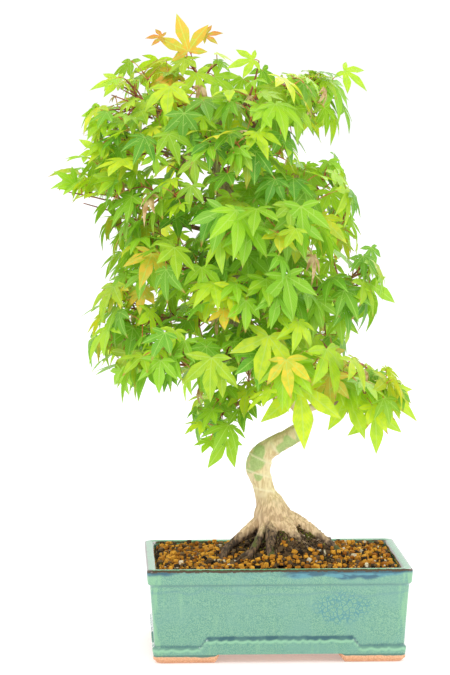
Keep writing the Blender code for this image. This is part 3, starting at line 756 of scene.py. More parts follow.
bark = {
    "pale": ((0.68, 0.51, 0.26), (0.90, 0.76, 0.45)),
    "cream": (0.92, 0.80, 0.50),
    "pink": ((0.40, 0.25, 0.135), (0.72, 0.51, 0.31)),
    "old": ((0.10, 0.062, 0.032), (0.30, 0.21, 0.12)),
    "green": ((0.35, 0.51, 0.165), (0.44, 0.61, 0.21)),
    "scar": (0.93, 0.84, 0.56),
    "earthy": ((0.035, 0.02, 0.01), (0.20, 0.12, 0.06)),
    "moss": (0.09, 0.10, 0.02),
    "young": ((0.15, 0.06, 0.03), (0.22, 0.13, 0.06)),
}


def makeBark(piece):
    material, tree, shader = newMaterial("mapleBark", 0.75)
    place = objectPlace(tree, location=-potMiddle)
    height = addNode(tree, "SeparateXYZ", {"Vector": place}).outputs["Z"]
    upright = noiseOf(objectPlace(tree, scale=(1, 1, 0.2)), 520.0, 5.0, 0.6)
    blotch = noiseOf(place, 110.0, 4.0)
    fine = noiseOf(place, 900.0, 4.0)
    earthy = mixOf(bandOf(upright, 0.4, 0.66), *bark["earthy"])
    greenPatch = times(attributeOf(tree, "greenPatch"), bandOf(blotch, 0.15, 0.4))
    setColour(shader, layCoats(mixOf(bandOf(upright, 0.36, 0.66), *bark["pale"]), (
        (0.7, bandOf(blotch, 0.42, 0.66), bark["cream"]),
        (0.8, bandOf(height, 0.128, 0.108), mixOf(bandOf(upright, 0.38, 0.64), *bark["pink"])),
        (0.75, bandOf(height, 0.205, 0.250), mixOf(bandOf(upright, 0.4, 0.62), *bark["old"])),
        (0.85, greenPatch, mixOf(bandOf(fine, 0.35, 0.65), *bark["green"])),
        (0.7, attributeOf(tree, "scarRing"), bark["scar"]),
        (1.0, attributeOf(tree, "darkBase"), mixOf(bandOf(blotch, 0.54, 0.64), earthy, bark["moss"])),
        (0.85, attributeOf(tree, "twigShare"), mixOf(bandOf(blotch, 0.4, 0.6), *bark["young"])),
    )))
    bumpOf(shader, plus(upright, times(fine, 0.4)), 0.55, 0.0009)
    giveMaterial(material, piece)


woodPiece = makeWood()
makeBark(woodPiece)
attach(woodPiece, "root")
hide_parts("trunk")
woodTree = BVHTree.FromObject(woodPiece, bpy.context.evaluated_depsgraph_get())
print("trunk, roots and limbs made,", len(woodPiece.data.polygons), "faces")


# soil, in millimetres
soil = {
    "half": (93.0, 65.5),
    "lowest": 68.0,
    "lumps": 8,
    "roundness": 0.4,
    "rough": 0.21,
    "grains": 3700,
    "grainSize": (2.0, 5.8),
    "smallShare": 1.7,
    "crumbs": 2400,
    "crumbSize": (1.0, 2.3),
    "dust": 1500,
    "dustSize": (0.9, 1.9),
    "fineRoots": 130,
    "moundMiddle": (8.0, -3.0),
    "moundReach": 37.0,
    "highest": 73.2,
    "cell": 0.8,
    "orange": ((0.30, 0.10, 0.008), (0.82, 0.43, 0.045)),
    "pit": (0.34, 0.11, 0.012),
    "dark": ((0.014, 0.010, 0.006), (0.16, 0.10, 0.045)),
    "moss": ((0.06, 0.075, 0.010), (0.24, 0.25, 0.03)),
    "pale": ((0.55, 0.46, 0.28), (0.80, 0.74, 0.60)),
    "earth": ((0.03, 0.018, 0.010), (0.15, 0.085, 0.04)),
    "root": ((0.07, 0.04, 0.02), (0.30, 0.20, 0.11)),
}


def modelGrains():
    # a few broken clay lumps of 24 faces each
    shapes = []
    for number in range(soil["lumps"]):
        deselectAll()
        bpy.ops.mesh.primitive_cube_add(size=1.2)
        lump = bpy.context.object
        editAll()
        bpy.ops.mesh.subdivide(number_cuts=1)
        bpy.ops.transform.tosphere(value=soil["roundness"])
        bpy.ops.transform.vertex_random(offset=soil["rough"], seed=number + 3)
        bpy.ops.object.mode_set(mode="OBJECT")
        shapes.append(takeShape(lump, {}))
    return shapes


def copyMany(name, shapes, copies):
    # one mesh of many placed copies; each copy is a shape's number, its matrix and its own values
    places, faces, start = [], [], 0
    values = {key: [] for key in (*copies[0][2], *shapes[0][2])}
    for number, matrix, own in copies:
        points, polygons, layers = shapes[number]
        places.append(movedBy(points, matrix))
        faces.extend(tuple(index + start for index in polygon) for polygon in polygons)
        start += len(points)
        for key, value in own.items():
            values[key].append(np.full(len(points), value))
        for key, layer in layers.items():
            values[key].append(layer)
    mesh = bpy.data.meshes.new(name)
    mesh.from_pydata(np.concatenate(places).tolist(), [], faces)
    for key, parts in values.items():
        setAttribute(mesh, key, np.concatenate(parts))
    mesh.update()
    return newPiece(name, mesh)


def heapGrains(rule, ground, count, size, spotOf, kindOf, shapes):
    # each grain comes to rest on what already lies under it, kept in a height map
    cell = soil["cell"]
    wide, deep = soil["half"]
    copies = []
    for _ in range(count):
        x, y = spotOf()
        radius = (size[0] + (size[1] - size[0]) * rule.random() ** soil["smallShare"]) / 2
        if abs(x) > wide - radius * 0.7 or abs(y) > deep - radius * 0.7:
            continue
        column, row = int((x + wide) / cell), int((y + deep) / cell)
        reach = max(1, int(radius / cell))
        left, right = max(0, column - reach), column + reach + 1
        low, high = max(0, row - reach), row + reach + 1
        patch = ground[low:high, left:right]
        base = float(np.percentile(patch, 60))
        z = base + radius * 0.45
        spot = placed(x, y, z)
        tooHigh = base > max(soil["highest"], moundHeight(x, y) + 3)
        if tooHigh or woodTree.find_nearest(spot, radius * 1.2 * mm)[0] is not None:
            continue
        ys, xs = np.mgrid[low:low + patch.shape[0], left:left + patch.shape[1]]
        away = ((xs + 0.5) * cell - wide - x) ** 2 + ((ys + 0.5) * cell - deep - y) ** 2
        cap = z + np.sqrt(np.maximum(0.0, radius ** 2 - away)) * 0.85
        inside = away < radius ** 2
        patch[inside] = np.maximum(patch[inside], cap[inside])
        stretch = Vector((rule.uniform(0.85, 1.15), rule.uniform(0.8, 1.1), rule.uniform(0.75, 1.0)))
        turn = Matrix.Rotation(rule.uniform(0, 6.3), 4, "Z")
        turn @= Matrix.Rotation(rule.uniform(-0.6, 0.6), 4, "X")
        matrix = Matrix.Translation(spot) @ turn @ Matrix.Diagonal((*(stretch * radius * mm), 1.0))
        copies.append((rule.randrange(len(shapes)), matrix, kindOf(x, y)))
    return copies


def moundHeight(x, y):
    # old root soil packed round the foot of the trunk, lower under the arching root on the left
    away = math.hypot(x - 8, y + 4)
    hollow = 8 * smoothstep(2, -12, x) * smoothstep(12, -4, y) * smoothstep(48, 26, away)
    return 103 - 0.64 * away - hollow + 2.2 * lumpy(x * 0.13, y * 0.13, 1.0)


def makeMound(groundTree):
    deselectAll()
    bpy.ops.mesh.primitive_grid_add(
        x_subdivisions=110, y_subdivisions=110, size=100 * mm, location=placed(6, -2, 0)
    )
    piece = bpy.context.object
    piece.name = "oldRootSoil"
    bpy.ops.object.transform_apply(location=True, rotation=True, scale=True)
    for vertex in piece.data.vertices:
        x, y, _ = (vertex.co - potMiddle) / mm
        lump = 1.1 * lumpy(x * 0.5, y * 0.5, 4.0) + 0.6 * lumpy(x, y, 8.0)
        vertex.co.z = (moundHeight(x, y) + lump) * mm
    bpy.ops.object.mode_set(mode="EDIT")
    bpy.ops.mesh.select_all(action="DESELECT")
    shape = bmesh.from_edit_mesh(piece.data)
    for face in shape.faces:
        middle = face.calc_center_median()
        hit = groundTree.ray_cast(Vector((middle.x, middle.y, 0.13)), -up)
        face.select = hit[0] is None or hit[0].z > middle.z + 0.002
    bmesh.update_edit_mesh(piece.data)
    bpy.ops.mesh.delete(type="FACE")
    bpy.ops.object.mode_set(mode="OBJECT")
    bpy.ops.object.shade_smooth()
    return piece


def makeSoil():
    rule = random.Random(11)
    node = bpy.data.objects["soil"]
    groundTree = BVHTree.FromObject(node, bpy.context.evaluated_depsgraph_get())
    wide, deep = soil["half"]
    cell = soil["cell"]
    ground = np.full((int(2 * deep / cell) + 1, int(2 * wide / cell) + 1), soil["lowest"])
    for row, column in np.ndindex(ground.shape):
        x, y = (column + 0.5) * cell - wide, (row + 0.5) * cell - deep
        hit = groundTree.ray_cast(placed(x, y, 130), -up)
        if hit[0] is not None:
            ground[row, column] = max(hit[0].z / mm, moundHeight(x, y), soil["lowest"])
    mound = makeMound(groundTree)
    mx, my = soil["moundMiddle"]

    def anywhere():
        return rule.uniform(-wide, wide), rule.uniform(-deep, deep)

    def fromMound(x, y):
        return math.hypot(x - mx, (y - my) * 1.1)

    def offMound():
        # the clay stops short of the old root soil, but for a few strays
        while True:
            x, y = anywhere()
            edge = 36 + 7 * lumpy(x * 0.08, y * 0.08, 6.0)
            if fromMound(x, y) > edge or rule.random() < 0.04:
                return x, y

    def onMound():
        while True:
            x = mx + rule.gauss(0, soil["moundReach"] * 0.5)
            y = my + rule.gauss(0, soil["moundReach"] * 0.5)
            if fromMound(x, y) < soil["moundReach"]:
                return x, y

    def clayKind(x, y):
        chance = rule.random()
        drift = lumpy(x * 0.045, y * 0.045, 2.0)
        darkShare = 0.24 + 0.4 * smoothstep(50, 36, fromMound(x, y)) + 0.5 * max(0.0, drift)
        paleShare = 0.015 + 0.08 * smoothstep(0.1, 0.4, lumpy(x * 0.05, y * 0.05, 9.0))
        kind = 0.15 if chance < darkShare * 1.15 else 0.9 if chance > 1 - paleShare else 0.5
        return {"grainKind": kind, "grainShade": rule.random()}

    def earthKind(x, y):
        chance = rule.random()
        drift = lumpy(x * 0.09, y * 0.09, 5.0)
        mossShare = 0.06 + 0.5 * max(0.0, drift) + 0.3 * smoothstep(11, 4, math.hypot(x - 6, y + 20))
        kind = 0.7 if chance < mossShare else 0.9 if chance > 0.975 else 0.15
        return {"grainKind": kind, "grainShade": rule.random()}

    lumps = modelGrains()
    copies = heapGrains(rule, ground, soil["grains"], soil["grainSize"], offMound, clayKind, lumps)
    clay = copyMany("clayGrains", lumps, copies)
    crumbs = heapGrains(rule, ground, soil["crumbs"], soil["crumbSize"], onMound, earthKind, lumps)
    dust = heapGrains(rule, ground, soil["dust"], soil["dustSize"], anywhere, earthKind, lumps)
    earth = copyMany("darkCrumbs", lumps, crumbs + dust)
    lines = []
    for _ in range(soil["fineRoots"]):
        # fine roots that lie over the mound and run down it
        turn, away = rule.uniform(0, 2 * math.pi), rule.uniform(13, 34)
        line = []
        for _ in range(5):
            x, y = 5 + math.cos(turn) * away, -2 + math.sin(turn) * away
            line.append((x, y, moundHeight(x, y) + rule.uniform(0.3, 1.6), rule.uniform(0.2, 0.38)))
            turn += rule.uniform(-0.09, 0.09)
            away += rule.uniform(1.5, 3.5)
        lines.append(smoothLine(line, 2))
    hairs = addTubes("fineRoots", lines, 0)
    print("soil heaped,", len(copies), "grains and", len(crumbs) + len(dust), "crumbs")
    return node, mound, clay, earth, hairs


def finishSoil(ground, grains, hairs):
    material, tree, shader = newMaterial("firedClayGrain", 0.9, 0.2)
    kind, shade = attributeOf(tree, "grainKind"), attributeOf(tree, "grainShade")
    pitted = noiseOf(objectPlace(tree), 1300.0, 3.0)
    dark, orange, moss, pale = (mixOf(shade, *soil[name]) for name in ("dark", "orange", "moss", "pale"))
    orange = layCoats(orange, ((0.35, bandOf(pitted, 0.45, 0.62), soil["pit"]),))
    steps = ((0.25, 0.35, orange), (0.58, 0.62, moss), (0.78, 0.82, pale))
    setColour(shader, layCoats(dark, [(1.0, bandOf(kind, low, high), coat) for low, high, coat in steps]))
    bumpOf(shader, pitted, 0.5, 0.0005)
    giveMaterial(material, *grains)

    material, tree, shader = newMaterial("darkEarth", 0.95, 0.2)
    clods = noiseOf(objectPlace(tree), 420.0, 5.0)
    setColour(shader, mixOf(bandOf(clods, 0.35, 0.65), *soil["earth"]))
    bumpOf(shader, clods, 0.9, 0.002)
    giveMaterial(material, *ground)

    material, tree, shader = newMaterial("fineRoot", 0.8)
    patchy = noiseOf(objectPlace(tree), 300.0, 3.0)
    setColour(shader, mixOf(bandOf(patchy, 0.4, 0.6), *soil["root"]))
    giveMaterial(material, hairs)


soilNode, moundPiece, clayPiece, earthPiece, hairPiece = makeSoil()
finishSoil((soilNode, moundPiece), (clayPiece, earthPiece), hairPiece)
for piece in (moundPiece, clayPiece, earthPiece, hairPiece):
    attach(piece, "root")


# shoots: limb, how far along it, where its twig ends, leaf length, how far the leaves hang
shoots = (
    ("apex", 1.0, (-71, -3, 462), 34, -60),
    ("apex", 0.7, (-88, 2, 452), 32, 10),
    ("apex", 0.7, (-42, 4, 462), 32, 20),
    ("left_top", 1.0, (-126, -6, 444), 28, 10),
    ("left_top", 0.8, (-132, -14, 418), 30, 30),
    ("left_upper", 1.0, (-128, -20, 402), 28, 20),
    ("left_upper", 0.8, (-118, -34, 382), 36, 40),
    ("left_mid", 1.0, (-146, 0, 360), 36, 25),
    ("left_mid", 0.8, (-122, -12, 326), 38, 45),
    ("left_low", 1.0, (-122, -20, 272), 38, 40),
    ("left_low", 0.8, (-118, -26, 246), 40, 55),
    ("left_low", 0.7, (-108, 14, 240), 38, 50),
    ("left_front_low", 1.0, (-100, -52, 222), 40, 60),
    ("left_front_low", 0.8, (-68, -72, 228), 40, 60),
    ("hanging", 1.0, (-46, -24, 184), 36, 65),
    ("hanging", 0.9, (-34, -34, 198), 34, 45),
    ("right_low", 1.0, (84, -22, 198), 40, 50),
    ("right_low", 0.8, (66, -44, 204), 42, 60),
    ("right_low", 0.8, (78, 12, 196), 38, 55),
    ("right_low_back", 1.0, (86, 58, 206), 40, 45),
    ("right_low_back", 0.7, (42, 70, 232), 40, 50),
    ("front_low", 1.0, (20, -72, 222), 46, 65),
    ("front_low", 0.8, (-16, -58, 248), 38, 45),
    ("right_mid", 1.0, (76, -26, 298), 38, 50),
    ("right_mid", 0.85, (66, -46, 276), 40, 60),
    ("right_mid_back", 1.0, (68, 42, 336), 40, 45),
    ("right_mid_back", 0.8, (38, 70, 322), 40, 50),
    ("right_upper", 1.0, (54, -20, 372), 38, 50),
    ("right_upper", 0.8, (30, -48, 356), 40, 55),
    ("right_top", 1.0, (38, 14, 436), 36, 50),
    ("right_top", 0.8, (48, 2, 412), 38, 55),
    ("right_top_front", 1.0, (14, -26, 438), 36, 45),
    ("right_top_front", 0.8, (0, -52, 420), 38, 50),
    ("front_mid", 1.0, (-40, -78, 280), 42, 60),
    ("front_mid", 0.8, (2, -78, 274), 42, 60),
    ("front_upper", 1.0, (-36, -76, 334), 42, 55),
    ("front_upper", 0.8, (16, -74, 326), 42, 60),
    ("front_top", 1.0, (-56, -62, 392), 36, 50),
    ("front_top", 0.8, (-16, -64, 384), 40, 55),
    ("left_front", 1.0, (-94, -50, 306), 40, 50),
    ("left_front_upper", 1.0, (-98, -50, 352), 38, 50),
    ("back_low", 1.0, (10, 82, 228), 42, 50),
    ("back_mid", 1.0, (-56, 80, 276), 42, 50),
    ("back_mid", 0.8, (-8, 76, 288), 42, 50),
    ("back_upper", 1.0, (-26, 78, 348), 40, 45),
    ("back_upper", 0.8, (16, 70, 362), 38, 45),
    ("back_left", 1.0, (-104, 48, 316), 40, 45),
    ("back_top", 1.0, (-54, 66, 410), 36, 40),
    ("back_top", 0.8, (-92, 34, 414), 34, 40),
)
# leaves that stand out: shoot, leaf base, where its tip points, where its face looks, length, tint
heroLeaves = (
    ("apex_1", (-68, -4, 470), (-0.30, 0.0, 1.0), (0.0, -1, 0.2), 31, 0.83),
    ("apex_1", (-88, -2, 481), (-1.0, 0.1, 0.1), (0.1, -0.8, 0.7), 14, 0.96),
    ("apex_1", (-55, 2, 482), (0.9, 0.0, 0.3), (-0.2, -0.8, 0.6), 15, 0.97),
    ("apex_1", (-62, -14, 453), (0.25, -0.25, -0.9), (0.1, -1, 0.3), 25, 0.46),
    ("apex_3", (-48, -10, 450), (0.75, -0.2, -0.55), (0.2, -0.9, 0.5), 25, 0.38),
    ("apex_2", (-76, -2, 452), (-1.0, -0.2, -0.25), (0.1, -0.7, 0.8), 24, 0.84),
    ("apex_2", (-84, 0, 447), (-0.6, -0.3, -0.9), (-0.3, -0.9, 0.4), 21, 0.77),
    ("left_top_1", (-122, -8, 447), (-0.9, 0.0, -0.1), (-0.2, -0.6, 0.8), 24, 0.55),
    ("left_top_2", (-136, -14, 424), (-0.6, -0.2, -0.8), (-0.5, -0.8, 0.4), 22, 0.48),
    ("left_upper_1", (-116, -20, 402), (0.25, -0.2, -0.95), (-0.1, -1, 0.2), 24, 0.67),
    ("left_upper_1", (-139, -16, 393), (-0.8, 0.0, 0.55), (0.1, -1, 0.3), 17, 0.56),
    ("left_mid_1", (-121, -18, 372), (-0.55, -0.1, 0.75), (-0.1, -1, 0.25), 27, 0.50),
    ("left_mid_1", (-153, -2, 369), (-1.0, 0.0, -0.05), (-0.1, -0.5, 0.9), 24, 0.44),
    ("left_mid_1", (-156, -4, 366), (-0.7, -0.2, 0.6), (0.2, -0.8, 0.6), 20, 0.40),
    ("hanging_1", (-47, -26, 196), (0.0, -0.25, -1.0), (-0.1, -1, 0.15), 25, 0.30),
    ("hanging_1", (-39, -30, 169), (-0.55, -0.2, -0.8), (0.0, -1, 0.25), 27, 0.42),
    ("front_low_1", (14, -80, 214), (0.08, -0.35, -0.93), (0.0, -1, 0.35), 46, 0.60),
    ("front_low_2", (-10, -84, 254), (-0.25, -0.35, -0.85), (-0.1, -1, 0.4), 38, 0.60),
    ("front_mid_2", (2, -96, 300), (0.2, -0.3, -0.9), (0.1, -1, 0.35), 33, 0.34),
    ("front_upper_1", (-44, -92, 350), (-0.3, -0.3, -0.9), (-0.15, -1, 0.4), 34, 0.30),
    ("front_upper_2", (14, -88, 352), (0.1, -0.3, -0.95), (0.1, -1, 0.4), 33, 0.36),
    ("right_mid_1", (72, -26, 290), (0.15, -0.1, -1.0), (0.3, -1, 0.1), 32, 0.40),
    ("right_low_1", (82, -26, 205), (0.9, -0.15, -0.5), (0.3, -0.8, 0.8), 36, 0.56),
    ("right_low_1", (76, -30, 190), (0.12, -0.2, -1.0), (0.2, -1, 0.2), 33, 0.50),
    ("right_low_2", (52, -52, 205), (0.45, -0.3, -0.85), (0.1, -1, 0.5), 36, 0.54),
    ("right_top_1", (54, 2, 455), (0.85, -0.1, -0.5), (0.3, -0.8, 0.7), 24, 0.50),
    ("right_top_front_1", (-18, -26, 463), (-0.9, -0.1, -0.15), (-0.1, -0.8, 0.6), 22, 0.52),
)
# thin bare shoots of new wood: the shoot they belong to, start, end
bareTwigs = (
    ("left_mid_1", (-92, 6, 336), (-164, -4, 361)), ("left_mid_1", (-94, 4, 333), (-150, -10, 352)),
    ("left_upper_1", (-78, -14, 391), (-139, -18, 402)), ("left_upper_1", (-84, -16, 388), (-112, -26, 397)),
    ("left_top_1", (-92, -5, 422), (-121, -9, 441)), ("left_top_1", (-88, -6, 420), (-128, -12, 436)),
    ("left_top_2", (-96, -6, 418), (-134, -14, 424)), ("hanging_1", (-7, -8, 208), (-30, -22, 192)),
    ("apex_1", (-55, 0, 440), (-66, -3, 468)), ("right_top_front_1", (-22, -18, 432), (-14, -24, 462)),
)
# more leafy twigs where a limb would look bare: shoot, start, end
leafyTwigs = (
    ("right_low_back_1", (50, 30, 215), (42, 48, 203)), ("right_low_back_1", (60, 36, 218), (70, 24, 206)),
    ("right_low_back_1", (65, 39, 220), (58, 60, 210)), ("right_low_back_1", (54, 32, 216), (56, 14, 204)),
)
# outline of the crown: height, left, right, half its depth
crownOutline = (
    (150, -66, 96, 80), (180, -80, 110, 100), (196, -118, 106, 108), (211, -140, 94, 112),
    (228, -150, 68, 114), (244, -152, 64, 114), (258, -152, 80, 114), (290, -142, 84, 112),
    (310, -128, 80, 110), (330, -140, 74, 108), (352, -160, 62, 106), (370, -178, 54, 102),
    (384, -176, 50, 98), (400, -156, 55, 92), (425, -148, 62, 82), (450, -142, 68, 66),
    (470, -106, 30, 42), (510, -106, -40, 20),
)
# how low and how high the leaves reach: x, height
crownSkirt = (
    (-180, 222), (-136, 208), (-121, 190), (-105, 197), (-85, 201), (-70, 206), (-60, 152), (-28, 150),
    (-18, 190), (12, 184), (40, 186), (60, 182), (72, 176), (84, 160), (94, 172), (100, 182), (120, 178),
)
crownTop = (
    (-180, 410), (-150, 424), (-136, 450), (-112, 452), (-100, 484), (-40, 484), (-28, 472), (-10, 468),
    (6, 457), (22, 455), (37, 459), (54, 460), (70, 452), (90, 430), (120, 300),
)
leaf = {
    "colours": (
        (0.0, (0.020, 0.17, 0.012)), (0.20, (0.10, 0.38, 0.016)), (0.38, (0.34, 0.66, 0.016)),
        (0.56, (0.68, 0.90, 0.018)), (0.76, (0.95, 0.84, 0.022)), (0.90, (0.93, 0.42, 0.05)),
        (1.0, (0.82, 0.20, 0.05)),
    ),
    "fresh": (0.26, 0.60, 0.03),
    "shaded": (0.02, 0.16, 0.012),
    "vein": (0.55, 0.78, 0.16),
    "brownTip": (0.48, 0.20, 0.05),
    "withered": ((0.50, 0.24, 0.10), (0.90, 0.62, 0.38)),
    "through": (0.55, 0.85, 0.03),
    # leaves past this share are dead and curled
    "alive": 0.95,
    # rows along a lobe: share of its length, half width as a share of its length
    "rows": ((0.42, 0.165), (0.54, 0.175), (0.66, 0.130), (0.78, 0.095), (1.0, 0.0)),
    "shortRows": ((0.48, 0.17), (0.70, 0.12), (1.0, 0.0)),
    "sinus": 0.22,
    "heel": 0.13,
    "lobes": (
        ((-104, 0.50), (-50, 0.86), (0, 1.0), (50, 0.86), (104, 0.50)),
        ((-92, 0.58), (-44, 0.90), (0, 1.0), (46, 0.84), (98, 0.50)),
        ((-128, 0.30), (-84, 0.62), (-42, 0.88), (0, 1.0), (42, 0.90), (84, 0.66), (128, 0.32)),
        ((-96, 0.46), (-46, 0.78), (0, 1.0), (44, 0.88), (92, 0.60)),
        ((-120, 0.34), (-80, 0.66), (-40, 0.92), (0, 1.0), (40, 0.86), (82, 0.58), (124, 0.28)),
        ((-88, 0.52), (-42, 0.86), (0, 1.0), (42, 0.82), (90, 0.54)),
    ),
    "fold": (0.22, 0.35, 0.15, 0.45, 0.25, 0.10),
    "droop": (0.20, 0.34, 0.12, 0.26, 0.42, 0.06),
}


def turnedTo(angle):
    return Vector((math.sin(math.radians(angle)), math.cos(math.radians(angle)), 0))


def modelLeaf(number):
    # each lobe starts as a narrow grid: half a kite inside the sinus, a toothed blade beyond it
    rule = random.Random(number + 20)
    lobes = leaf["lobes"][number]
    fold, droop = leaf["fold"][number], leaf["droop"][number]
    deselectAll()
    made = []
    last = len(lobes) - 1
    for place, (angle, length) in enumerate(lobes):
        before = (lobes[place - 1][0] + angle) / 2 if place else angle - 30
        after = (lobes[place + 1][0] + angle) / 2 if place < last else angle + 30
        rows = leaf["rows"] if length > 0.45 else leaf["shortRows"]
        bpy.ops.mesh.primitive_grid_add(x_subdivisions=2, y_subdivisions=len(rows) + 1, size=2)
        lobe = bpy.context.object
        mesh = lobe.data
        twist, curl, sway = rule.uniform(-0.2, 0.2), rule.uniform(0.6, 1.3), rule.uniform(-6, 6)
        across, along = [], []
        for vertex in mesh.vertices:
            side = round(vertex.co.x)
            row = round((vertex.co.y + 1) / 2 * (len(rows) + 1))
            if row == 0:
                spot, share, width = Vector((0, 0, 0)), 0.0, 0.0
            elif row == 1:
                outer = (place == 0 and side < 0) or (place == last and side > 0)
                heel = leaf["heel"] if outer else leaf["sinus"]
                bound = before if side < 0 else after
                spot = turnedTo(bound) * heel if side else turnedTo(angle) * length * 0.25
                share, width = 0.24, abs(side) * 0.10
            else:
                share, width = rows[row - 2]
                way = turnedTo(angle + sway * (share - 0.24))
                aside = Vector((way.y, -way.x, 0))
                tooth = 0.035 if row % 2 == 0 and row < len(rows) + 1 else 0.0
                spot = way * length * (share + tooth * abs(side)) + aside * side * width * length
                width *= abs(side) * length
            sag = droop * spot.length ** 2
            rise = fold * width * (1 + twist * side) - sag * curl * (1.1 if row > 1 else 0.8)
            if row == 1 and side:
                rise = fold * 0.09 - sag
            vertex.co = Vector((spot.x, spot.y, rise))
            across.append(side * width)
            along.append(share)
        setAttribute(mesh, "leafAcross", across)
        setAttribute(mesh, "leafAlong", along)
        made.append(lobe)
    blade = joinPieces(*made)
    closeSeams(0.03)
    mesh = blade.data
    if sum(face.normal.z for face in mesh.polygons) < 0:
        mesh.flip_normals()
    layers = {}
    for name in ("leafAcross", "leafAlong"):
        values = np.empty(len(mesh.vertices), np.float32)
        mesh.attributes[name].data.foreach_get("value", values)
        layers[name] = values
    return takeShape(blade, layers)


leafShapes = [modelLeaf(number) for number in range(len(leaf["lobes"]))]
print("leaf shapes modelled,", [len(shape[1]) for shape in leafShapes], "faces")


# growing the shoots
growth = {
    "stalkShare": 0.6,
    "stalkRadius": 0.44,
    "twigRadius": (1.15, 0.55),
    "sideTwig": (20, 34),
    "twigColours": ((0.22, 0.045, 0.020), (0.40, 0.13, 0.06)),
    "stalkColours": ((0.62, 0.16, 0.05), (0.50, 0.42, 0.08)),
    "fillers": 46,
    # what a blade tries in order to hang clear: more droop, more turn, share of its length
    "tries": ((0, 0, 1.0), (0, 25, 1.0), (-20, -25, 0.95), (20, 20, 0.9), (-35, 0, 0.85), (10, -45, 0.8)),
    # the leaves stay inside this box
    "low": (-186, -117, 150),
    "high": (122, 127, 508),
    # where leaves leave a twig: share of its length, turn round it, share of the leaf's full size
    "mainLeaves": (
        (1.0, 30, 0.95), (1.0, 150, 0.95), (0.97, 270, 0.8), (0.66, 15, 0.85), (0.66, 195, 0.85),
        (0.36, 90, 0.7),
    ),
    "sideLeaves": ((1.0, 20, 0.8), (1.0, 160, 0.8), (1.0, 270, 0.7), (0.55, 90, 0.6)),
    "apexLeaves": ((0.8, 60, 0.6), (0.62, 15, 0.65), (0.5, 195, 0.7), (0.3, 270, 0.7)),
    "fillerLeaves": (
        (1.0, 25, 0.9), (1.0, 150, 0.9), (0.95, 270, 0.8), (0.6, 30, 0.8), (0.6, 200, 0.8), (0.3, 90, 0.7),
    ),
}


def lineAt(line, share):
    place = share * (len(line) - 1)
    index = min(int(place), len(line) - 2)
    part = place - index
    return Vector(line[index][:3]).lerp(Vector(line[index + 1][:3]), part)


def awayFromTrunk(spot):
    middle = trunkAt(max(180.0, min(450.0, spot.z)))
    flat = Vector((spot.x - middle[0], spot.y - middle[1], 0))
    return flat.normalized() if flat.length > 1 else Vector((0, -1, 0))


# middle, reach and faces of every blade that is already placed, to keep new ones clear of them
bladesPlaced = []


def touching(tree, middle, reach):
    near = [other for spot, span, other in bladesPlaced if (spot - middle).length < reach + span]
    return sum(len(tree.overlap(other)) for other in near)


def bladeMatrix(base, tip, face, length):
    across = tip.cross(face).normalized()
    normal = across.cross(tip).normalized()
    turn = Matrix((across, tip, normal)).transposed().to_4x4()
    return Matrix.Translation(placed(*base)) @ turn @ Matrix.Scale(length * mm, 4)


def bladeTree(shape, matrix):
    points, faces, _ = leafShapes[shape]
    moved = movedBy(points, matrix)
    return BVHTree.FromPolygons(moved.tolist(), faces), moved


def tableAt(table, value):
    # a row of the table at any value between its rows
    for one, two in zip(table, table[1:]):
        if value <= two[0]:
            share = max(0.0, (value - one[0]) / (two[0] - one[0]))
            return [a + (b - a) * share for a, b in zip(one[1:], two[1:])]
    return table[-1][1:]


def insideCrown(x, y, z, room=1.0):
    left, right, depth = tableAt(crownOutline, z)
    across = (x - (left + right) / 2) / ((right - left) / 2)
    return across * across + (y / depth) ** 2 < room


def insideBox(moved):
    places = (moved - np.array(potMiddle)) / mm
    low, high = places.min(axis=0), places.max(axis=0)
    if not (all(low > growth["low"]) and all(high < growth["high"])):
        return False
    lowest, highest = places[places[:, 2].argmin()], places[places[:, 2].argmax()]
    if lowest[2] + lowest[1] * 0.1 < tableAt(crownSkirt, lowest[0])[0]:
        return False
    if highest[2] > tableAt(crownTop, highest[0])[0]:
        return False
    outer = places[np.abs(places[:, 0] + 35).argmax()]
    return insideCrown(outer[0], outer[1] * 0.7, outer[2], 1.06)


def tintOf(base, rule):
    # deep green inside, fresh green outside, olive and orange towards the top
    high = smoothstep(395, 470, base.z)
    reach = math.hypot(base.x + 25, base.y) / 110
    tint = 0.10 + 0.32 * rule.random() + 0.26 * min(1.0, reach) * rule.random()
    chance = rule.random()
    if chance < 0.26:
        tint += 0.22
    elif chance > 0.985:
        tint = 0.88
    tint += 0.30 * high * rule.random()
    # leaves low on the right are painted lighter and limer, a painted highlight where the light from the
    # right falls
    if base.x > 0 and base.z < 240:
        tint += 0.10
    return min(0.86, tint)


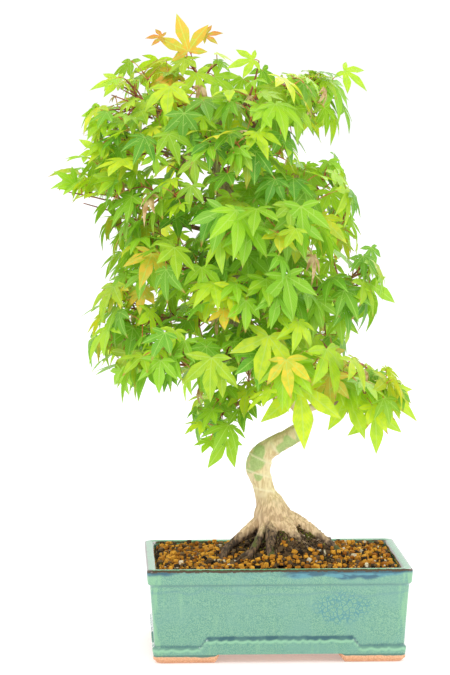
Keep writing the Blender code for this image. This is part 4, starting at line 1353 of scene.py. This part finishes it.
def addLeaf(parts, rule, node, reachWay, length, hang):
    # a stalk out of the twig, then a blade that is turned until it hangs clear of the others
    stalk = (reachWay + up * 0.28).normalized() * length * growth["stalkShare"] * rule.uniform(0.8, 1.25)
    base = node + stalk
    outward = (awayFromTrunk(base) + reachWay * 0.8).normalized()
    flat = Vector((outward.x, outward.y, 0))
    outward = flat.normalized() if flat.length > 0.05 else outward
    swing, roll, tilt = rule.uniform(-38, 38), rule.uniform(-24, 24), rule.uniform(-20, 20)
    shape = rule.randrange(len(leafShapes))
    best = None
    for moreHang, moreSwing, share in growth["tries"]:
        way = Matrix.Rotation(math.radians(swing + moreSwing), 3, "Z") @ outward
        drop = math.radians(hang + tilt + moreHang)
        tip = (way * math.cos(drop) - up * math.sin(drop)).normalized()
        face = way * math.sin(drop) + up * math.cos(drop)
        face = Matrix.Rotation(math.radians(roll), 3, tip) @ face
        matrix = bladeMatrix(base, tip, face, length * share)
        tree, moved = bladeTree(shape, matrix)
        if not insideBox(moved):
            continue
        reach = length * share * 1.02 * mm
        middle = Vector(moved.mean(axis=0))
        count = touching(tree, middle, reach) + 3 * len(tree.overlap(woodTree))
        if best is None or count < best[0]:
            best = (count, matrix, tree, middle, reach)
        if count == 0:
            break
    if best is None or best[0] > 26:
        return False
    bladesPlaced.append((best[3], best[4], best[2]))
    own = {"leafTint": tintOf(base, rule), "leafShade": rule.random(), "leafDry": rule.random()}
    curled = Matrix.Diagonal((0.35, 0.6, 1.6, 1.0))
    matrix = best[1] @ curled if own["leafDry"] > leaf["alive"] else best[1]
    parts["leaves"].append((shape, matrix, own))
    middle = node + stalk * 0.55 + up * length * 0.05
    radius = growth["stalkRadius"]
    end = base - stalk * 0.01
    line = smoothLine([(*node, radius * 1.3), (*middle, radius), (*end, radius * 0.8)], 3)
    parts["stalks"].append(line)
    return True


def growTwig(parts, rule, line, length, hang, stations):
    direction = (Vector(line[-1][:3]) - Vector(line[0][:3])).normalized()
    across = direction.cross(up)
    across = across.normalized() if across.length > 0.1 else Vector((1, 0, 0))
    above = across.cross(direction).normalized()
    # the twig stops at its last leaf, and one that got no leaf is left out
    reach = 0.0
    for share, turn, size in stations:
        angle = math.radians(turn + rule.uniform(-20, 20))
        aside = across * math.cos(angle) + above * math.sin(angle)
        way = (direction * 0.55 + aside * 0.8).normalized()
        span = length * size * rule.uniform(0.85, 1.1)
        if addLeaf(parts, rule, lineAt(line, share), way, span, hang):
            reach = max(reach, share)
    if reach:
        parts["twigs"].append(line[:math.ceil(reach * (len(line) - 1)) + 1])


def twigLine(start, end, radii, rule, arch=0.12):
    run = end - start
    middle = start.lerp(end, 0.5) + up * arch * run.length
    middle += Vector((rule.uniform(-1, 1), rule.uniform(-1, 1), rule.uniform(-1, 1))) * run.length * 0.05
    radius = sum(radii) / 2
    return smoothLine([(*start, radii[0]), (*middle, radius), (*end, radii[1])], 5)


def growShoot(number, label, limb, share, end, length, hang):
    rule = random.Random(number + 70)
    parts = {"leaves": [], "twigs": [], "stalks": []}
    start = lineAt(limbLine(limb), share)
    end = Vector(end)
    line = twigLine(start, end, growth["twigRadius"], rule)
    for shoot, first, last in bareTwigs:
        if shoot == label:
            parts["twigs"].append(twigLine(Vector(first), Vector(last), (0.95, 0.45), rule, 0.05))
    heroes = [hero[1:] for hero in heroLeaves if hero[0] == label]
    knots = [Vector(point[:3]) for twig in (*parts["twigs"], line) for point in twig]
    for base, tip, face, heroLength, tint in heroes:
        base, tip, face = Vector(base), Vector(tip).normalized(), Vector(face).normalized()
        node = min(knots, key=lambda spot: (spot - base).length)
        matrix = bladeMatrix(base, tip, face, heroLength)
        tree, moved = bladeTree(0, matrix)
        bladesPlaced.append((Vector(moved.mean(axis=0)), heroLength * mm, tree))
        parts["leaves"].append((0, matrix, {"leafTint": tint, "leafShade": 0.7, "leafDry": 0.6}))
        middle = node.lerp(base, 0.5) + up * (base - node).length * 0.12
        parts["stalks"].append(smoothLine([(*node, 0.5), (*middle, 0.4), (*base, 0.3)], 4))
    size = length * 0.84
    for shoot, first, last in leafyTwigs:
        if shoot == label:
            side = twigLine(Vector(first), Vector(last), (0.9, 0.5), rule)
            growTwig(parts, rule, side, size, hang, growth["sideLeaves"])
    if limb == "apex":
        growTwig(parts, rule, line, size, max(hang, 20), growth["apexLeaves"])
        return parts
    growTwig(parts, rule, line, size, hang, growth["mainLeaves"])
    direction = (end - start).normalized()
    for place, turn in ((0.30, 55), (0.55, -60), (0.12, -35)):
        root = lineAt(line, place)
        way = Matrix.Rotation(math.radians(turn + rule.uniform(-15, 15)), 3, "Z") @ direction
        way = (way + up * rule.uniform(-0.15, 0.5)).normalized()
        tip = root + way * rule.uniform(*growth["sideTwig"])
        side = twigLine(root, tip, (0.8, 0.45), rule)
        growTwig(parts, rule, side, size, hang * rule.uniform(0.6, 1.1), growth["sideLeaves"])
    return parts


def fillCrown(grown, owners):
    # more twigs off the limbs, each towards the emptiest place left inside the crown's outline
    rule = random.Random(5)
    limbs = [(limb, Vector(point[:3])) for limb in limbPoints for point in limbLine(limb)[5:]]
    for _ in range(growth["fillers"]):
        best = None
        for _ in range(60):
            spot = Vector((rule.uniform(-170, 110), rule.uniform(-100, 105), rule.uniform(200, 462)))
            if not insideCrown(*spot, 0.72) or spot.z < tableAt(crownSkirt, spot.x)[0] + 34:
                continue
            room = min((middle - placed(*spot)).length for middle, _, _ in bladesPlaced)
            limb, start = min(limbs, key=lambda item: (item[1] - spot).length)
            if 12 < (start - spot).length < 80 and (best is None or room > best[0]):
                best = (room, limb, start, spot)
        if best is None:
            continue
        _, limb, start, spot = best
        line = twigLine(start, spot, (0.95, 0.5), rule)
        length, hang = rule.uniform(29, 34), rule.uniform(20, 60)
        growTwig(grown[owners[limb]], rule, line, length, hang, growth["fillerLeaves"])


def makeLeafMaterial(name, turn):
    material, tree, shader = newMaterial(name, 0.42, 0.45)
    tint, shade, dry, side, along = (
        attributeOf(tree, name) for name in ("leafTint", "leafShade", "leafDry", "leafAcross", "leafAlong")
    )
    across = mathOf("ABSOLUTE", side)
    ramp = addNode(tree, "ValToRGB", {"Fac": plus(tint, turn)})
    for _ in leaf["colours"][2:]:
        ramp.color_ramp.elements.new(0.5)
    for element, (position, colour) in zip(ramp.color_ramp.elements, leaf["colours"]):
        element.position = position
        element.color = (*colour, 1.0)
    blotch = noiseOf(objectPlace(tree), 160.0, 3.0)
    # pale midrib and side veins, brown tips on some leaves, and a few withered ones
    slope = mathOf("SUBTRACT", along, times(across, 1.6))
    sideVeins = times(bandOf(mathOf("SINE", times(slope, 75.0)), 0.72, 1.0), 0.35)
    veins = mathOf("MAXIMUM", sideVeins, times(bandOf(across, 0.020, 0.004), 0.6))
    tip = bandOf(plus(along, times(blotch, 0.2)), 0.92, 1.08)
    withered = mixOf(bandOf(blotch, 0.35, 0.65), *leaf["withered"])
    colour = layCoats(ramp.outputs["Color"], (
        (0.4, bandOf(blotch, 0.4, 0.62), leaf["fresh"]),
        (0.42, bandOf(shade, 0.0, 1.0, 1.0, 0.0), leaf["shaded"]),
        (1.0, veins, leaf["vein"]),
        (1.0, times(tip, bandOf(dry, 0.55, 0.8)), leaf["brownTip"]),
        (1.0, bandOf(dry, leaf["alive"] - 0.005, leaf["alive"]), withered),
    ))
    setColour(shader, colour)
    bumpOf(shader, veins, 0.35, 0.0004)
    # light comes through the blade
    warmer = addNode(tree, "Mix", {"Factor": 0.4, 6: colour, 7: (*leaf["through"], 1.0)}, data_type="RGBA")
    glow = addNode(tree, "BsdfTranslucent", {"Color": warmer.outputs[2]})
    mixed = addNode(tree, "MixShader", {0: 0.36, 1: shader.outputs["BSDF"], 2: glow.outputs["BSDF"]})
    tree.links.new(mixed.outputs["Shader"], tree.nodes["Material Output"].inputs["Surface"])
    return material


def makeTwigMaterial():
    material, tree, shader = newMaterial("redTwig", 0.5)
    patchy = noiseOf(objectPlace(tree), 200.0, 3.0)
    twig = mixOf(bandOf(patchy, 0.35, 0.65), *growth["twigColours"])
    stalk = mixOf(bandOf(patchy, 0.4, 0.6), *growth["stalkColours"])
    setColour(shader, mixOf(attributeOf(tree, "stalkShare"), twig, stalk))
    return material


leafMaterial = makeLeafMaterial("mapleLeaf", 0.0)
youngMaterial = makeLeafMaterial("youngMapleLeaf", 0.06)
twigMaterial = makeTwigMaterial()
grown, owners, counts = {}, {}, {}
for number, shoot in enumerate(shoots):
    limb = shoot[0]
    counts[limb] = counts.get(limb, 0) + 1
    label = f"{limb}_{counts[limb]}"
    owners[limb] = label
    grown[label] = growShoot(number, label, *shoot)
print("shoots grown,", sum(len(parts["leaves"]) for parts in grown.values()), "leaves")
fillCrown(grown, owners)
print("crown filled,", sum(len(parts["leaves"]) for parts in grown.values()), "leaves")
for label, parts in grown.items():
    young = label.startswith("apex")
    foliage = copyMany("leaves_" + label, leafShapes, parts["leaves"])
    giveMaterial(youngMaterial if young else leafMaterial, foliage)
    pick(foliage)
    bpy.ops.object.shade_smooth()
    twigPiece = addTubes("twig_" + label, parts["twigs"], 1)
    stalkPiece = addTubes("stalks_" + label, parts["stalks"], 1)
    for share, piece in enumerate((twigPiece, stalkPiece)):
        setAttribute(piece.data, "stalkShare", np.full(len(piece.data.vertices), share))
    twigPiece = joinPieces(twigPiece, stalkPiece)
    bpy.ops.object.shade_smooth()
    giveMaterial(twigMaterial, twigPiece)
    for piece, slot in ((foliage, "young_leaf" if young else "leaf"), (twigPiece, "bark")):
        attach(piece, "root")
        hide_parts("shoot_" + label)


# netting and clips under the soil: node, material, its two colours, roughness, metal
plainFinishes = (
    ("drain_mesh", "greenNetting", (0.015, 0.05, 0.03), (0.03, 0.09, 0.05), 0.55, 0.0),
    ("mesh_clip", "aluminiumWire", (0.45, 0.44, 0.42), (0.62, 0.61, 0.58), 0.35, 1.0),
)
for prefix, name, low, high, roughness, metal in plainFinishes:
    material, tree, shader = newMaterial(name, roughness)
    shader.inputs["Metallic"].default_value = metal
    setColour(shader, mixOf(bandOf(noiseOf(objectPlace(tree), 300.0, 3.0), 0.35, 0.65), low, high))
    giveMaterial(material, bpy.data.objects[prefix + "_left"], bpy.data.objects[prefix + "_right"])
print("netting and clips finished")
